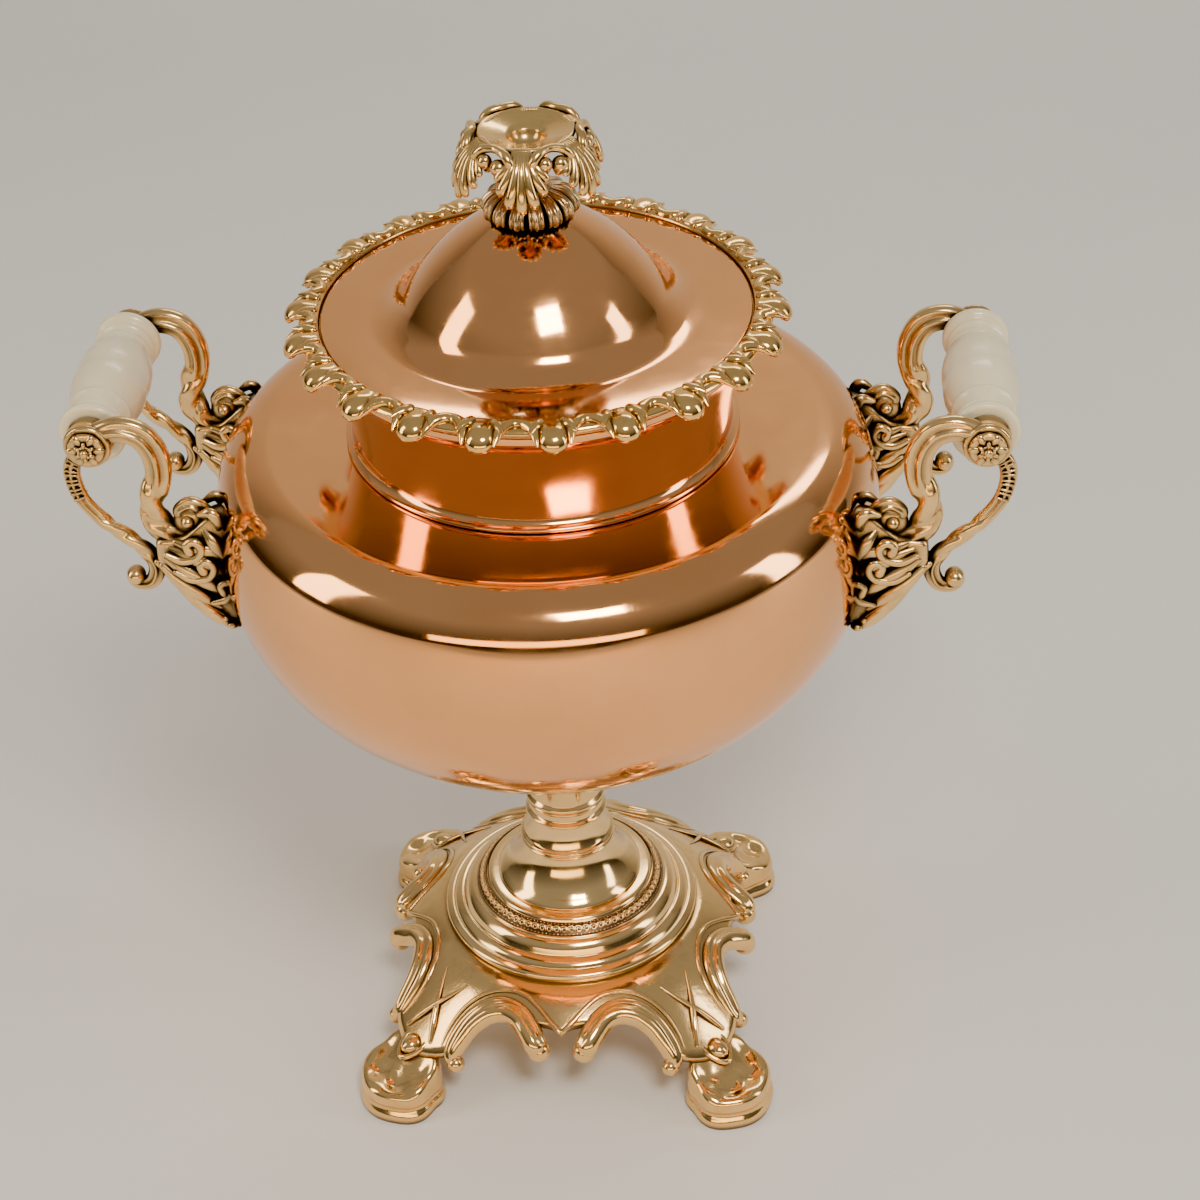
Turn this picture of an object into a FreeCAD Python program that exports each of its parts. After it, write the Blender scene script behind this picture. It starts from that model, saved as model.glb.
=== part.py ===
import FreeCAD, Part
import math
import os
import re

import Sketcher
from FreeCAD import Placement, Rotation, Vector

# A copper and brass tea urn: a squat spun bowl on a turned stem and a square scrolled plinth with four
# paw feet, two pairs of cast scroll brackets that carry turned grips, a lid with a leaf finial, a
# draw-off tap at the back and a heater sleeve inside. Z is up, the floor is Z 0, the urn's own axis
# is the Z axis, the tap points to +Y and the grips stand at -X and +X.

SIZES = [
    # spun bowl
    ("bowl_radius", 143.5, "largest radius"),
    ("equator_height", 286.0, "height of the largest radius"),
    ("shoulder_height", 330.0, "highest point of the shoulder"),
    ("shoulder_dip", 2.5, "fall of the shoulder to the neck seat"),
    ("upper_arc", 100.0, "wall arc over the equator"),
    ("corner_arc", 24.0, "tight roll of the shoulder"),
    ("lower_arc", 92.0, "wall arc under the equator"),
    ("lower_angle", 45.0, "end of that arc under the equator, degrees"),
    ("base_arc", 260.0, "long arc down to the seat"),
    ("seat_radius", 38.0, "flat seat under the bowl"),
    ("bowl_wall", 1.5, "copper wall"),
    ("neck_opening", 74.0, "radius of the mouth in the shoulder"),
    # neck collar, gallery and lid
    ("neck_seat_radius", 80.0, "where the neck meets the shoulder"),
    ("neck_foot", 1.8, "turned-out foot of the neck"),
    ("neck_rise", 49.0, "height of the neck"),
    ("neck_flare", 9.0, "outward sweep of the neck"),
    ("neck_wall", 1.6, "wall of the neck"),
    ("ledge_width", 5.0, "ledge that carries the lid"),
    ("ledge_height", 6.5, "height of the ledge over the neck"),
    ("gallery_wall", 3.5, "upstand round the lid"),
    ("gallery_rise", 3.0, "upstand over the ledge"),
    ("gallery_reach", 104.0, "radius over the tongues"),
    ("gallery_droop", 7.5, "fall of the tongues"),
    ("gallery_sheet", 2.6, "thickness of the tongues"),
    ("tongue_count", 22, "tongues round the gallery"),
    ("notch_radius", 5.2, "round head of the arch between two tongues"),
    ("notch_inset", 98.6, "centre of that head"),
    ("tongue_bulb", 6.2, "half width of a tongue's swelling"),
    ("lid_gap", 0.6, "gap round the lid"),
    ("lid_radius", 89.4, "lid over its brim"),
    ("lid_wall", 1.6, "wall of the lid"),
    ("lid_brim", 19.0, "flat brim"),
    ("lid_top_radius", 17.0, "flat under the finial"),
    ("lid_rise", 43.0, "height of that flat over the brim"),
    ("lid_turn_radius", 54.0, "where the dome turns into the hollow sweep"),
    ("lid_turn_rise", 9.0, "height there over the brim"),
    ("lid_dome_arc", 97.6, "convex arc of the dome"),
    ("lid_sweep_arc", 19.4, "concave arc down to the brim"),
    ("locating_depth", 6.5, "depth of the ring under the lid"),
    ("locating_gap", 1.0, "its running gap"),
    # finial
    ("collar_radius", 20.5, "petal collar"),
    ("collar_rise", 12.5, "its height"),
    ("petal_count", 14, "petals round the collar"),
    ("finial_rise", 38.0, "finial over the flat of the lid"),
    ("dish_radius", 20.0, "dish in the finial"),
    ("dish_depth", 7.0, "its depth"),
    ("leaf_count", 6, "drooping leaves"),
    ("leaf_reach", 31.5, "radius over the leaves"),
    ("leaf_drop", 21.0, "leaf tip under the rim of the dish"),
    ("leaf_width", 12.0, "width of a leaf"),
    ("leaf_sheet", 2.8, "thickness of a leaf"),
    ("stud_radius", 2.2, "stud that holds the finial"),
    # pedestal
    ("socket_foot_height", 124.0, "joint between stem and socket"),
    ("stem_radius", 16.8, "stem between its rings"),
    ("ring_radius", 18.7, "turned rings of the stem"),
    ("stem_foot_height", 78.0, "joint between stem and round foot"),
    ("cone_radius", 33.7, "foot of the stem's flare"),
    ("low_ring_radius", 21.7, "double ring over the flare"),
    ("low_ring_height", 100.6, "its height"),
    ("band_outer", 45.5, "outer edge of the scroll band"),
    ("band_height", 72.0, "height of that edge"),
    ("groove_radius", 51.1, "groove round the foot"),
    ("groove_height", 66.5, "its height"),
    ("round_foot_radius", 60.3, "round foot over its lowest ring"),
    ("plinth_top", 57.0, "flat that carries the round foot"),
    ("tie_radius", 3.5, "rod through the pedestal"),
    ("tie_gap", 0.4, "clearance round that rod"),
    # plinth and feet
    ("plinth_wall", 3.5, "cast wall of the plinth"),
    ("plinth_crown", 62.0, "radius of the flat crown"),
    ("plinth_arc", 78.0, "arc down from the crown"),
    ("plinth_skirt", 99.0, "radius at the end of that arc"),
    ("skirt_height", 29.0, "height there"),
    ("spur_reach", 80.0, "pointed spur in the middle of a side"),
    ("scroll_tip_reach", 86.0, "inner scroll end from the axis"),
    ("scroll_tip_side", 9.8, "inner scroll end from the middle"),
    ("scroll_tip_height", 37.0, "its height"),
    ("scroll_crest_reach", 66.0, "crest of the arch from the axis"),
    ("scroll_crest_side", 32.0, "crest from the middle"),
    ("scroll_crest_height", 48.5, "height of the crest"),
    ("scroll_end_reach", 83.0, "outer scroll end from the axis"),
    ("scroll_end_side", 50.0, "outer scroll end from the middle"),
    ("scroll_end_height", 23.0, "its height"),
    ("scroll_thickness", 4.0, "radius of the rolled scroll"),
    ("corner_cut", 62.0, "corner of the plinth over the foot"),
    ("foot_distance", 112.0, "foot centre from the axis, on the diagonal"),
    ("toe_radius", 13.0, "toe of a foot"),
    ("toe_height", 17.0, "height of the toes"),
    ("toe_spread", 13.0, "side toes from the middle"),
    ("instep_radius", 15.0, "instep"),
    ("instep_height", 22.0, "its height"),
    ("foot_screw_radius", 2.4, "screw up into the plinth"),
    ("foot_screw_bite", 4.0, "depth of its hole in the plinth"),
    # handle brackets and grips
    ("bracket_side", 44.6, "plane of a bracket from the middle"),
    ("bracket_boss_x", 40.5, "axis of the grip outside the bowl"),
    ("bracket_boss_z", 17.0, "axis of the grip over the shoulder"),
    ("boss_radius", 10.0, "boss that clamps the grip"),
    ("boss_thickness", 10.0, "thickness of the boss"),
    ("upper_arm", 4.7, "radius of the upper arm"),
    ("lower_arm", 3.4, "radius of the lower arm"),
    ("pad_thickness", 15.0, "leaf pad against the bowl"),
    ("rod_radius", 3.0, "rod through a grip"),
    ("rod_gap", 0.3, "clearance round that rod"),
    ("grip_flange", 14.0, "radius of a grip's end flange"),
    ("grip_neck", 10.6, "radius behind the flange"),
    ("grip_belly", 15.6, "largest radius of a grip"),
    ("nut_radius", 8.2, "rosette nut"),
    ("nut_thickness", 6.0, "its thickness"),
    # tap
    ("tap_height", 225.0, "height of the tap's barrel"),
    ("rose_radius", 21.0, "tap flange"),
    ("rose_face", 0.93, "its outer face over the wall at the top of the barrel's ring"),
    ("saddle_edge", 2.0, "least thickness of the washer inside the wall"),
    ("back_nut_height", 5.5, "nut behind that washer"),
    ("barrel_radius", 8.0, "tap barrel"),
    ("shank_radius", 7.0, "threaded shank through the wall"),
    ("plug_distance", 164.0, "plug from the urn's axis"),
    ("housing_radius", 11.0, "plug housing"),
    ("housing_half", 15.0, "half its height"),
    ("plug_radius", 6.6, "plug at mid height"),
    ("plug_taper", 0.6, "change of radius to either end"),
    ("plug_gap", 0.08, "fit of the plug"),
    ("bore_radius", 4.0, "waterway"),
    ("spout_bend", 20.0, "bend of the spout"),
    ("spout_drop", 12.0, "straight fall after the bend"),
    ("spout_radius", 6.6, "spout tube"),
    ("key_rise", 13.0, "stem over the housing"),
    ("key_length", 44.0, "key handle from tip to tip"),
    ("key_bulge", 6.5, "radius of its ends"),
    ("key_waist", 4.8, "radius of its middle"),
    # heater
    ("sleeve_radius", 17.0, "heater sleeve"),
    ("sleeve_wall", 1.2, "its wall"),
    ("sleeve_top", 352.0, "height of its mouth"),
    ("sleeve_floor", 181.0, "height of its closed floor"),
    ("slug_radius", 14.6, "iron slug"),
    ("slug_length", 140.0, "its length"),
    ("eye_radius", 6.0, "lifting eye"),
    ("eye_wire", 1.8, "its wire"),
    ("cap_radius", 19.5, "sleeve cap"),
    ("cap_thickness", 2.0, "its plate"),
    ("seat_gap", 0.3, "general clearance"),
]

doc = FreeCAD.newDocument("tea_urn")
sheet = doc.addObject("Spreadsheet::Sheet", "Sizes")
for row, (name, value, note) in enumerate(SIZES, 1):
    sheet.set("A%d" % row, note)
    sheet.set("B%d" % row, str(value))
    sheet.setAlias("B%d" % row, name)
doc.recompute()
pieces = []


def full(expression):
    """The expression with every size written as a cell of the sheet."""
    return re.sub(r"\b([a-z]+(?:_[a-z]+)+)\b", r"Sizes.\1", str(expression))


def val(expression):
    return float(sheet.evalExpression(full(expression)))


def origin_plane(body, role):
    return next(f for f in body.Origin.OriginFeatures if f.Role == role)


def new_body(label):
    body = doc.addObject("PartDesign::Body", label)
    body.Label = label
    pieces.append(body)
    return body


def outline(body, role, corners, name, offset=None):
    """Closed sketch through corners (x, y) or (x, y, radius, side): the edge that arrives there is an
    arc with its centre to the left (side 1) or the right (side -1)."""
    sketch = body.newObject("Sketcher::SketchObject", name)
    sketch.AttachmentSupport = [(origin_plane(body, role), "")]
    sketch.MapMode = "FlatFace"
    if offset:
        sketch.setExpression("AttachmentOffset.Base.z", full(offset))
    points = [Vector(val(c[0]), val(c[1]), 0) for c in corners]
    ends = []
    for i, corner in enumerate(corners):
        a, b = points[i - 1], points[i]
        if len(corner) == 2:
            sketch.addGeometry(Part.LineSegment(a, b), False)
            ends.append((1, 2))
            continue
        radius, side = val(corner[2]), corner[3]
        chord = b - a
        left = Vector(-chord.y, chord.x, 0).normalize()
        depth = math.sqrt(max(radius ** 2 - (chord.Length / 2) ** 2, 0.0))
        centre = (a + b) * 0.5 + left * (side * depth)
        middle = centre - left * (side * radius)
        sketch.addGeometry(Part.Arc(a, middle, b) if side > 0 else Part.Arc(b, middle, a), False)
        ends.append((1, 2) if side > 0 else (2, 1))
    count = len(corners)
    for i in range(count):
        following = (i + 1) % count
        sketch.addConstraint(Sketcher.Constraint("Coincident", i, ends[i][1], following,
                                                 ends[following][0]))
    for i, corner in enumerate(corners):
        for kind, expression in (("DistanceX", corner[0]), ("DistanceY", corner[1])):
            index = sketch.addConstraint(Sketcher.Constraint(kind, -1, 1, i, ends[i][1],
                                                             val(expression)))
            sketch.setExpression("Constraints[%d]" % index, full(expression))
        if len(corner) > 2:
            index = sketch.addConstraint(Sketcher.Constraint("Radius", i, val(corner[2])))
            sketch.setExpression("Constraints[%d]" % index, full(corner[2]))
    return sketch


def turn(body, corners, name="Turning"):
    sketch = outline(body, "XZ_Plane", corners, name + "Profile")
    feature = body.newObject("PartDesign::Revolution", name)
    feature.Profile = sketch
    feature.ReferenceAxis = (sketch, ["V_Axis"])
    feature.Angle = 360
    return feature


def turned(label, corners):
    body = new_body(label)
    turn(body, corners)
    return body


def polar(body, originals, count, name="Pattern"):
    pattern = body.newObject("PartDesign::PolarPattern", name)
    pattern.Originals = originals
    pattern.Axis = (origin_plane(body, "Z_Axis"), [""])
    pattern.Angle = 360
    pattern.setExpression("Occurrences", full(count))
    body.Tip = pattern
    return pattern


def place(piece, x="0", y="0", z="0", turn_axis=None, angle=0):
    if turn_axis is not None:
        piece.Placement = Placement(Vector(), Rotation(turn_axis, angle))
    for axis, expression in (("x", x), ("y", y), ("z", z)):
        piece.setExpression("Placement.Base." + axis, full(expression))


def shaped(label, shape):
    piece = doc.addObject("Part::Feature", label)
    piece.Label = label
    piece.Shape = shape
    pieces.append(piece)
    return piece


def mirrored(label, source, normal):
    piece = doc.addObject("Part::Mirroring", label)
    piece.Label = label
    piece.Source = source
    piece.Normal = normal
    pieces.append(piece)
    return piece


def biarc(a, u, b, v):
    """Two arcs from a with direction u to b with direction v, tangent where they meet."""
    chord, both = b - a, u + v
    p, q = chord.dot(both), 2 * (1 - u.dot(v))
    if abs(q) < 1e-9:
        reach = chord.Length ** 2 / (4 * chord.dot(v))
    else:
        reach = (math.sqrt(p * p + q * chord.Length ** 2) - p) / q
    ma, mb = a + u * reach, b - v * reach
    middle = (ma + mb) * 0.5
    return [arc_from(a, u, middle), arc_from(middle, (mb - ma).normalize(), b)]


def arc_from(a, u, b):
    """The arc from a with direction u to b."""
    chord = b - a
    across = chord - u * chord.dot(u)
    if across.Length < 1e-4 * chord.Length:
        return Part.LineSegment(a, b).toShape()
    across.normalize()
    radius = chord.Length ** 2 / (2 * chord.dot(across))
    centre = a + across * radius
    half = (a - centre) + (b - centre)
    if half.Length < 1e-6:
        half = u
    middle = centre + half.normalize() * radius * (1 if chord.dot(u) > 0 else -1)
    return Part.Arc(a, middle, b).toShape()


def tube(points, radius, closed_end=None):
    """A round bar along smooth arcs through the points, with a rounded end."""
    directions = []
    for i in range(len(points)):
        before, after = points[max(i - 1, 0)], points[min(i + 1, len(points) - 1)]
        directions.append((after - before).normalize())
    first = points[1] - points[0]
    directions[0] = (first.normalize() * 2 - directions[1]).normalize()
    last = points[-1] - points[-2]
    directions[-1] = (last.normalize() * 2 - directions[-2]).normalize()
    edges = []
    for i in range(len(points) - 1):
        edges += biarc(points[i], directions[i], points[i + 1], directions[i + 1])
    path = Part.Wire(edges)
    section = Part.Wire([Part.Circle(points[0], directions[0], radius).toShape()])
    return path.makePipeShell([section], True, False)


def profile_face(corners):
    return Part.Face(Part.makePolygon(corners + corners[:1]))


# ---- bowl profile -------------------------------------------------------------------------------
CORNER_ARC = "min(corner_arc; 0.55 * (shoulder_height - equator_height))"
CORNER_Z = "(shoulder_height - %s)" % CORNER_ARC
LEAN = "asin((%s - equator_height) / (upper_arc - %s))" % (CORNER_Z, CORNER_ARC)
CORNER_R = "(bowl_radius - upper_arc + (upper_arc - %s) * cos(%s))" % (CORNER_ARC, LEAN)
BASE_R = "(bowl_radius - lower_arc + (lower_arc - base_arc) * cos(lower_angle))"
BASE_Z = "(equator_height + (base_arc - lower_arc) * sin(lower_angle))"
SEAT_Z = "(%s - sqrt(base_arc ^ 2 - (seat_radius - %s) ^ 2))" % (BASE_Z, BASE_R)
NECK_SEAT = "(shoulder_height - shoulder_dip)"
NECK_EDGE = "(neck_seat_radius + neck_foot)"


def bowl_side(inset):
    """Corners of the bowl wall from the seat up to the neck seat, set in by the given size."""
    shoulder = "((%s - %s) ^ 2 + shoulder_dip ^ 2) / (2 * shoulder_dip)" % (CORNER_R, NECK_EDGE)
    return [
        ("seat_radius", "%s + %s" % (SEAT_Z, inset)),
        ("bowl_radius - lower_arc + (lower_arc - %s) * cos(lower_angle)" % inset,
         "equator_height - (lower_arc - %s) * sin(lower_angle)" % inset, "base_arc - %s" % inset, 1),
        ("bowl_radius - %s" % inset, "equator_height", "lower_arc - %s" % inset, 1),
        ("%s + (%s - %s) * cos(%s)" % (CORNER_R, CORNER_ARC, inset, LEAN),
         "%s + (%s - %s) * sin(%s)" % (CORNER_Z, CORNER_ARC, inset, LEAN), "upper_arc - %s" % inset, 1),
        (CORNER_R, "shoulder_height - %s" % inset, "%s - %s" % (CORNER_ARC, inset), 1),
        (NECK_EDGE, "%s - %s" % (NECK_SEAT, inset), "%s - %s" % (shoulder, inset), 1),
    ]


def reverse(corners):
    """The same edges, walked the other way."""
    result = []
    for i in range(len(corners) - 1, -1, -1):
        arrival = corners[i + 1][2:] if i + 1 < len(corners) else ()
        arrival = (arrival[0], -arrival[1]) if arrival else ()
        result.append(tuple(corners[i][:2]) + arrival)
    return result


vessel = turned("vessel_body", [("tie_radius + tie_gap", SEAT_Z)] + bowl_side("0")
                + [("neck_opening", NECK_SEAT), ("neck_opening", "%s - bowl_wall" % NECK_SEAT)]
                + reverse(bowl_side("bowl_wall")) + [("tie_radius + tie_gap", "%s + bowl_wall" % SEAT_Z)])
tap_hole = vessel.newObject("PartDesign::SubtractiveCylinder", "TapHole")
tap_hole.AttachmentSupport = [(origin_plane(vessel, "XZ_Plane"), "")]
tap_hole.MapMode = "FlatFace"
tap_hole.setExpression("AttachmentOffset.Base.y", full("tap_height"))
tap_hole.setExpression("AttachmentOffset.Base.z", full("-bowl_radius"))
tap_hole.setExpression("Radius", full("shank_radius + seat_gap"))
tap_hole.setExpression("Height", full("bowl_radius / 2"))
doc.recompute()


def revolve_points(corners):
    """A solid of revolution from corners given the same way as a sketch's."""
    points = [Vector(val(c[0]), 0, val(c[1])) for c in corners]
    edges = []
    for i, corner in enumerate(corners):
        a, b = points[i - 1], points[i]
        if len(corner) == 2:
            edges.append(Part.LineSegment(a, b).toShape())
            continue
        radius, side = val(corner[2]), corner[3]
        chord = b - a
        left = Vector(-chord.z, 0, chord.x).normalize()
        depth = math.sqrt(max(radius ** 2 - (chord.Length / 2) ** 2, 0.0))
        centre = (a + b) * 0.5 + left * (side * depth)
        edges.append(Part.Arc(a, centre - left * (side * radius), b).toShape())
    return Part.Face(Part.Wire(edges)).revolve(Vector(), Vector(0, 0, 1), 360)


bowl_outside = revolve_points([("0", SEAT_Z)] + bowl_side("0") + [("0", NECK_SEAT)])
bowl_inside = revolve_points([("0", "%s + bowl_wall" % SEAT_Z)] + bowl_side("bowl_wall")
                             + [("0", "%s - bowl_wall" % NECK_SEAT)])

# ---- neck collar --------------------------------------------------------------------------------
NECK_TOP = "(%s + neck_rise)" % NECK_SEAT
NECK_ARC = "((neck_rise - 2 * neck_foot) ^ 2 + neck_flare ^ 2) / (2 * neck_flare)"
turned("neck_collar", [
    ("neck_seat_radius - neck_wall", NECK_SEAT),
    ("neck_seat_radius + neck_foot", NECK_SEAT),
    ("neck_seat_radius + neck_foot", "%s + neck_foot" % NECK_SEAT, "neck_foot / 1.9", 1),
    ("neck_seat_radius", "%s + 2 * neck_foot" % NECK_SEAT, "neck_foot * 1.5", -1),
    ("neck_seat_radius + neck_flare", NECK_TOP, NECK_ARC, -1),
    ("neck_seat_radius + neck_flare - neck_wall", NECK_TOP),
    ("neck_seat_radius - neck_wall", "%s + 2 * neck_foot" % NECK_SEAT, "%s + neck_wall" % NECK_ARC, 1),
])

# ---- gallery: a cast ring with drooping tongues and open arches between them ----------------------
RIM = "(lid_radius + lid_gap)"
LEDGE = "(%s + ledge_height)" % NECK_TOP
CREST = "(%s + gallery_rise)" % LEDGE
gallery = new_body("gallery_rim")
turn(gallery, [
    ("%s - ledge_width" % RIM, NECK_TOP),
    ("%s + 0.6 * gallery_wall" % RIM, NECK_TOP),
    ("%s + gallery_wall" % RIM, "%s - gallery_sheet" % CREST, "1.6 * ledge_height", -1),
    ("gallery_reach", "%s - gallery_droop" % CREST, "3 * gallery_droop", -1),
    ("gallery_reach + 0.4 * gallery_sheet", "%s - gallery_droop + gallery_sheet" % CREST,
     "0.7 * gallery_sheet", 1),
    ("%s + gallery_wall" % RIM, CREST, "3 * gallery_droop", 1),
    (RIM, CREST, "gallery_wall", 1),
    (RIM, LEDGE),
    ("%s - ledge_width" % RIM, LEDGE),
])
bulb = gallery.newObject("PartDesign::AdditiveEllipsoid", "TongueBulb")
bulb.AttachmentSupport = [(origin_plane(gallery, "XY_Plane"), "")]
bulb.MapMode = "FlatFace"
bulb.setExpression("AttachmentOffset.Base.x", full("gallery_reach - 0.5 * tongue_bulb"))
bulb.setExpression("AttachmentOffset.Base.z", full("%s - 0.8 * gallery_droop" % CREST))
bulb.setExpression("Radius1", full("0.62 * tongue_bulb"))
bulb.setExpression("Radius2", full("0.7 * tongue_bulb"))
bulb.setExpression("Radius3", full("tongue_bulb"))
HALF_PITCH = "(180 / tongue_count)"
mouth = "(gallery_reach + tongue_bulb)"
slot = outline(gallery, "XY_Plane", [
    ("notch_inset * cos(%s) + notch_radius * sin(%s)" % (HALF_PITCH, HALF_PITCH),
     "notch_inset * sin(%s) - notch_radius * cos(%s)" % (HALF_PITCH, HALF_PITCH), "notch_radius", 1),
    ("%s * cos(%s) + notch_radius * sin(%s)" % (mouth, HALF_PITCH, HALF_PITCH),
     "%s * sin(%s) - notch_radius * cos(%s)" % (mouth, HALF_PITCH, HALF_PITCH)),
    ("%s * cos(%s) - notch_radius * sin(%s)" % (mouth, HALF_PITCH, HALF_PITCH),
     "%s * sin(%s) + notch_radius * cos(%s)" % (mouth, HALF_PITCH, HALF_PITCH)),
    ("notch_inset * cos(%s) - notch_radius * sin(%s)" % (HALF_PITCH, HALF_PITCH),
     "notch_inset * sin(%s) + notch_radius * cos(%s)" % (HALF_PITCH, HALF_PITCH)),
    ("(notch_inset - notch_radius) * cos(%s)" % HALF_PITCH,
     "(notch_inset - notch_radius) * sin(%s)" % HALF_PITCH, "notch_radius", 1),
], "ArchProfile", "%s + 2 * tongue_bulb" % CREST)
arch = gallery.newObject("PartDesign::Pocket", "Arch")
arch.Profile = slot
arch.Type = "ThroughAll"
polar(gallery, [bulb, arch], "tongue_count")

# ---- lid ------------------------------------------------------------------------------------------
BRIM = "(%s + lid_wall)" % LEDGE
LID_TOP = "(%s + lid_rise)" % BRIM
turned("lid", [
    ("stud_radius + tie_gap", "%s - lid_wall" % LID_TOP),
    ("lid_top_radius", "%s - lid_wall" % LID_TOP),
    ("lid_turn_radius - 0.8 * lid_wall", "%s + lid_turn_rise - 0.7 * lid_wall" % BRIM,
     "lid_dome_arc - lid_wall", -1),
    ("lid_radius - lid_brim", LEDGE, "lid_sweep_arc + 0.7 * lid_wall", 1),
    ("lid_radius", LEDGE),
    ("lid_radius", BRIM),
    ("lid_radius - lid_brim", BRIM),
    ("lid_turn_radius", "%s + lid_turn_rise" % BRIM, "lid_sweep_arc", -1),
    ("lid_top_radius", LID_TOP, "lid_dome_arc", 1),
    ("stud_radius + tie_gap", LID_TOP),
])
RING_RADIUS = "(%s - ledge_width - locating_gap)" % RIM
turned("lid_locating_ring", [
    ("%s - lid_wall" % RING_RADIUS, "%s - locating_depth" % LEDGE),
    (RING_RADIUS, "%s - locating_depth" % LEDGE),
    (RING_RADIUS, LEDGE),
    ("%s - lid_wall" % RING_RADIUS, LEDGE),
])

# ---- finial: petal collar, dish with drooping leaves, stud, washer and nut --------------------------
COLLAR_TOP = "(%s + collar_rise)" % LID_TOP
collar = new_body("finial_collar")
turn(collar, [
    ("stud_radius + tie_gap", LID_TOP),
    ("collar_radius - 3.5", LID_TOP),
    ("collar_radius", "%s + 0.2 * collar_rise" % LID_TOP, "4", 1),
    ("0.4 * collar_radius", COLLAR_TOP, "1.05 * collar_rise", 1),
    ("stud_radius + tie_gap", COLLAR_TOP),
])
flute = outline(collar, "XY_Plane", [
    ("collar_radius - 2.2", "0"),
    ("collar_radius + 1", "-1.6"),
    ("collar_radius + 1", "1.6"),
], "FluteProfile", "%s + collar_rise" % COLLAR_TOP)
cut = collar.newObject("PartDesign::Pocket", "Flute")
cut.Profile = flute
cut.Type = "ThroughAll"
polar(collar, [cut], "petal_count")

FINIAL_TOP = "(%s + finial_rise)" % LID_TOP
finial = new_body("finial")
turn(finial, [
    ("0", COLLAR_TOP),
    ("0.35 * collar_radius", COLLAR_TOP),
    ("0.3 * dish_radius", "%s + 0.3 * finial_rise" % COLLAR_TOP, "9", -1),
    ("dish_radius", "%s - 2" % FINIAL_TOP, "0.85 * dish_radius", -1),
    ("dish_radius", FINIAL_TOP, "1.05", 1),
    ("0.2 * dish_radius", "%s - dish_depth" % FINIAL_TOP, "1.6 * dish_radius", -1),
    ("0", "%s - dish_depth" % FINIAL_TOP),
])
leaf = outline(finial, "XZ_Plane", [
    ("0.75 * dish_radius", "%s - 3.5" % FINIAL_TOP),
    ("leaf_reach - leaf_sheet", "%s - leaf_drop" % FINIAL_TOP, "0.85 * leaf_drop", -1),
    ("leaf_reach", "%s - leaf_drop - 1" % FINIAL_TOP, "0.6 * leaf_sheet", 1),
    ("leaf_reach - 1.5", "%s - 0.45 * leaf_drop" % FINIAL_TOP, "1.1 * leaf_drop", 1),
    ("0.8 * dish_radius", "%s - 0.6" % FINIAL_TOP, "0.75 * leaf_drop", 1),
], "LeafProfile")
leaf_pad = finial.newObject("PartDesign::Pad", "Leaf")
leaf_pad.Profile = leaf
leaf_pad.Midplane = True
leaf_pad.setExpression("Length", full("leaf_width"))
polar(finial, [leaf_pad], "leaf_count")
socket = finial.newObject("PartDesign::SubtractiveCylinder", "StudHole")
socket.AttachmentSupport = [(origin_plane(finial, "XY_Plane"), "")]
socket.MapMode = "FlatFace"
socket.setExpression("AttachmentOffset.Base.z", full(COLLAR_TOP))
socket.setExpression("Radius", full("stud_radius"))
socket.setExpression("Height", full("0.25 * finial_rise"))
finial.Placement.Rotation = Rotation(Vector(0, 0, 1), 90)


def rod(label, radius, bottom, top):
    piece = doc.addObject("Part::Cylinder", label)
    piece.Label = label
    piece.setExpression("Radius", full(radius))
    piece.setExpression("Height", full("(%s) - (%s)" % (top, bottom)))
    piece.setExpression("Placement.Base.z", full(bottom))
    pieces.append(piece)
    return piece


def washer(label, radius, hole, bottom, top):
    return turned(label, [(hole, bottom), (radius, bottom), (radius, top), (hole, top)])


def hexagon(label, flats, hole, bottom, top):
    """A hexagon nut about the Z axis."""
    body = new_body(label)
    corners = []
    for i in range(6):
        corners.append(("(%s) / cos(30) * cos(%d)" % (flats, 60 * i), "(%s) / cos(30) * sin(%d)" % (flats, 60 * i)))
    sketch = outline(body, "XY_Plane", corners, label + "_flats", bottom)
    pad = body.newObject("PartDesign::Pad", "Nut")
    pad.Profile = sketch
    pad.setExpression("Length", full("(%s) - (%s)" % (top, bottom)))
    bore = body.newObject("PartDesign::SubtractiveCylinder", "Thread")
    bore.AttachmentSupport = [(origin_plane(body, "XY_Plane"), "")]
    bore.MapMode = "FlatFace"
    bore.setExpression("AttachmentOffset.Base.z", full(bottom))
    bore.setExpression("Radius", full(hole))
    bore.setExpression("Height", full("(%s) - (%s)" % (top, bottom)))
    return body


UNDER_LID = "(%s - lid_wall)" % LID_TOP
rod("finial_stud", "stud_radius", "%s - 9" % UNDER_LID, "%s + 0.25 * finial_rise" % COLLAR_TOP)
washer("finial_washer", "3 * stud_radius", "stud_radius", "%s - 1.5" % UNDER_LID, UNDER_LID)
hexagon("finial_nut", "1.8 * stud_radius", "stud_radius", "%s - 6.5" % UNDER_LID, "%s - 1.5" % UNDER_LID)

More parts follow.
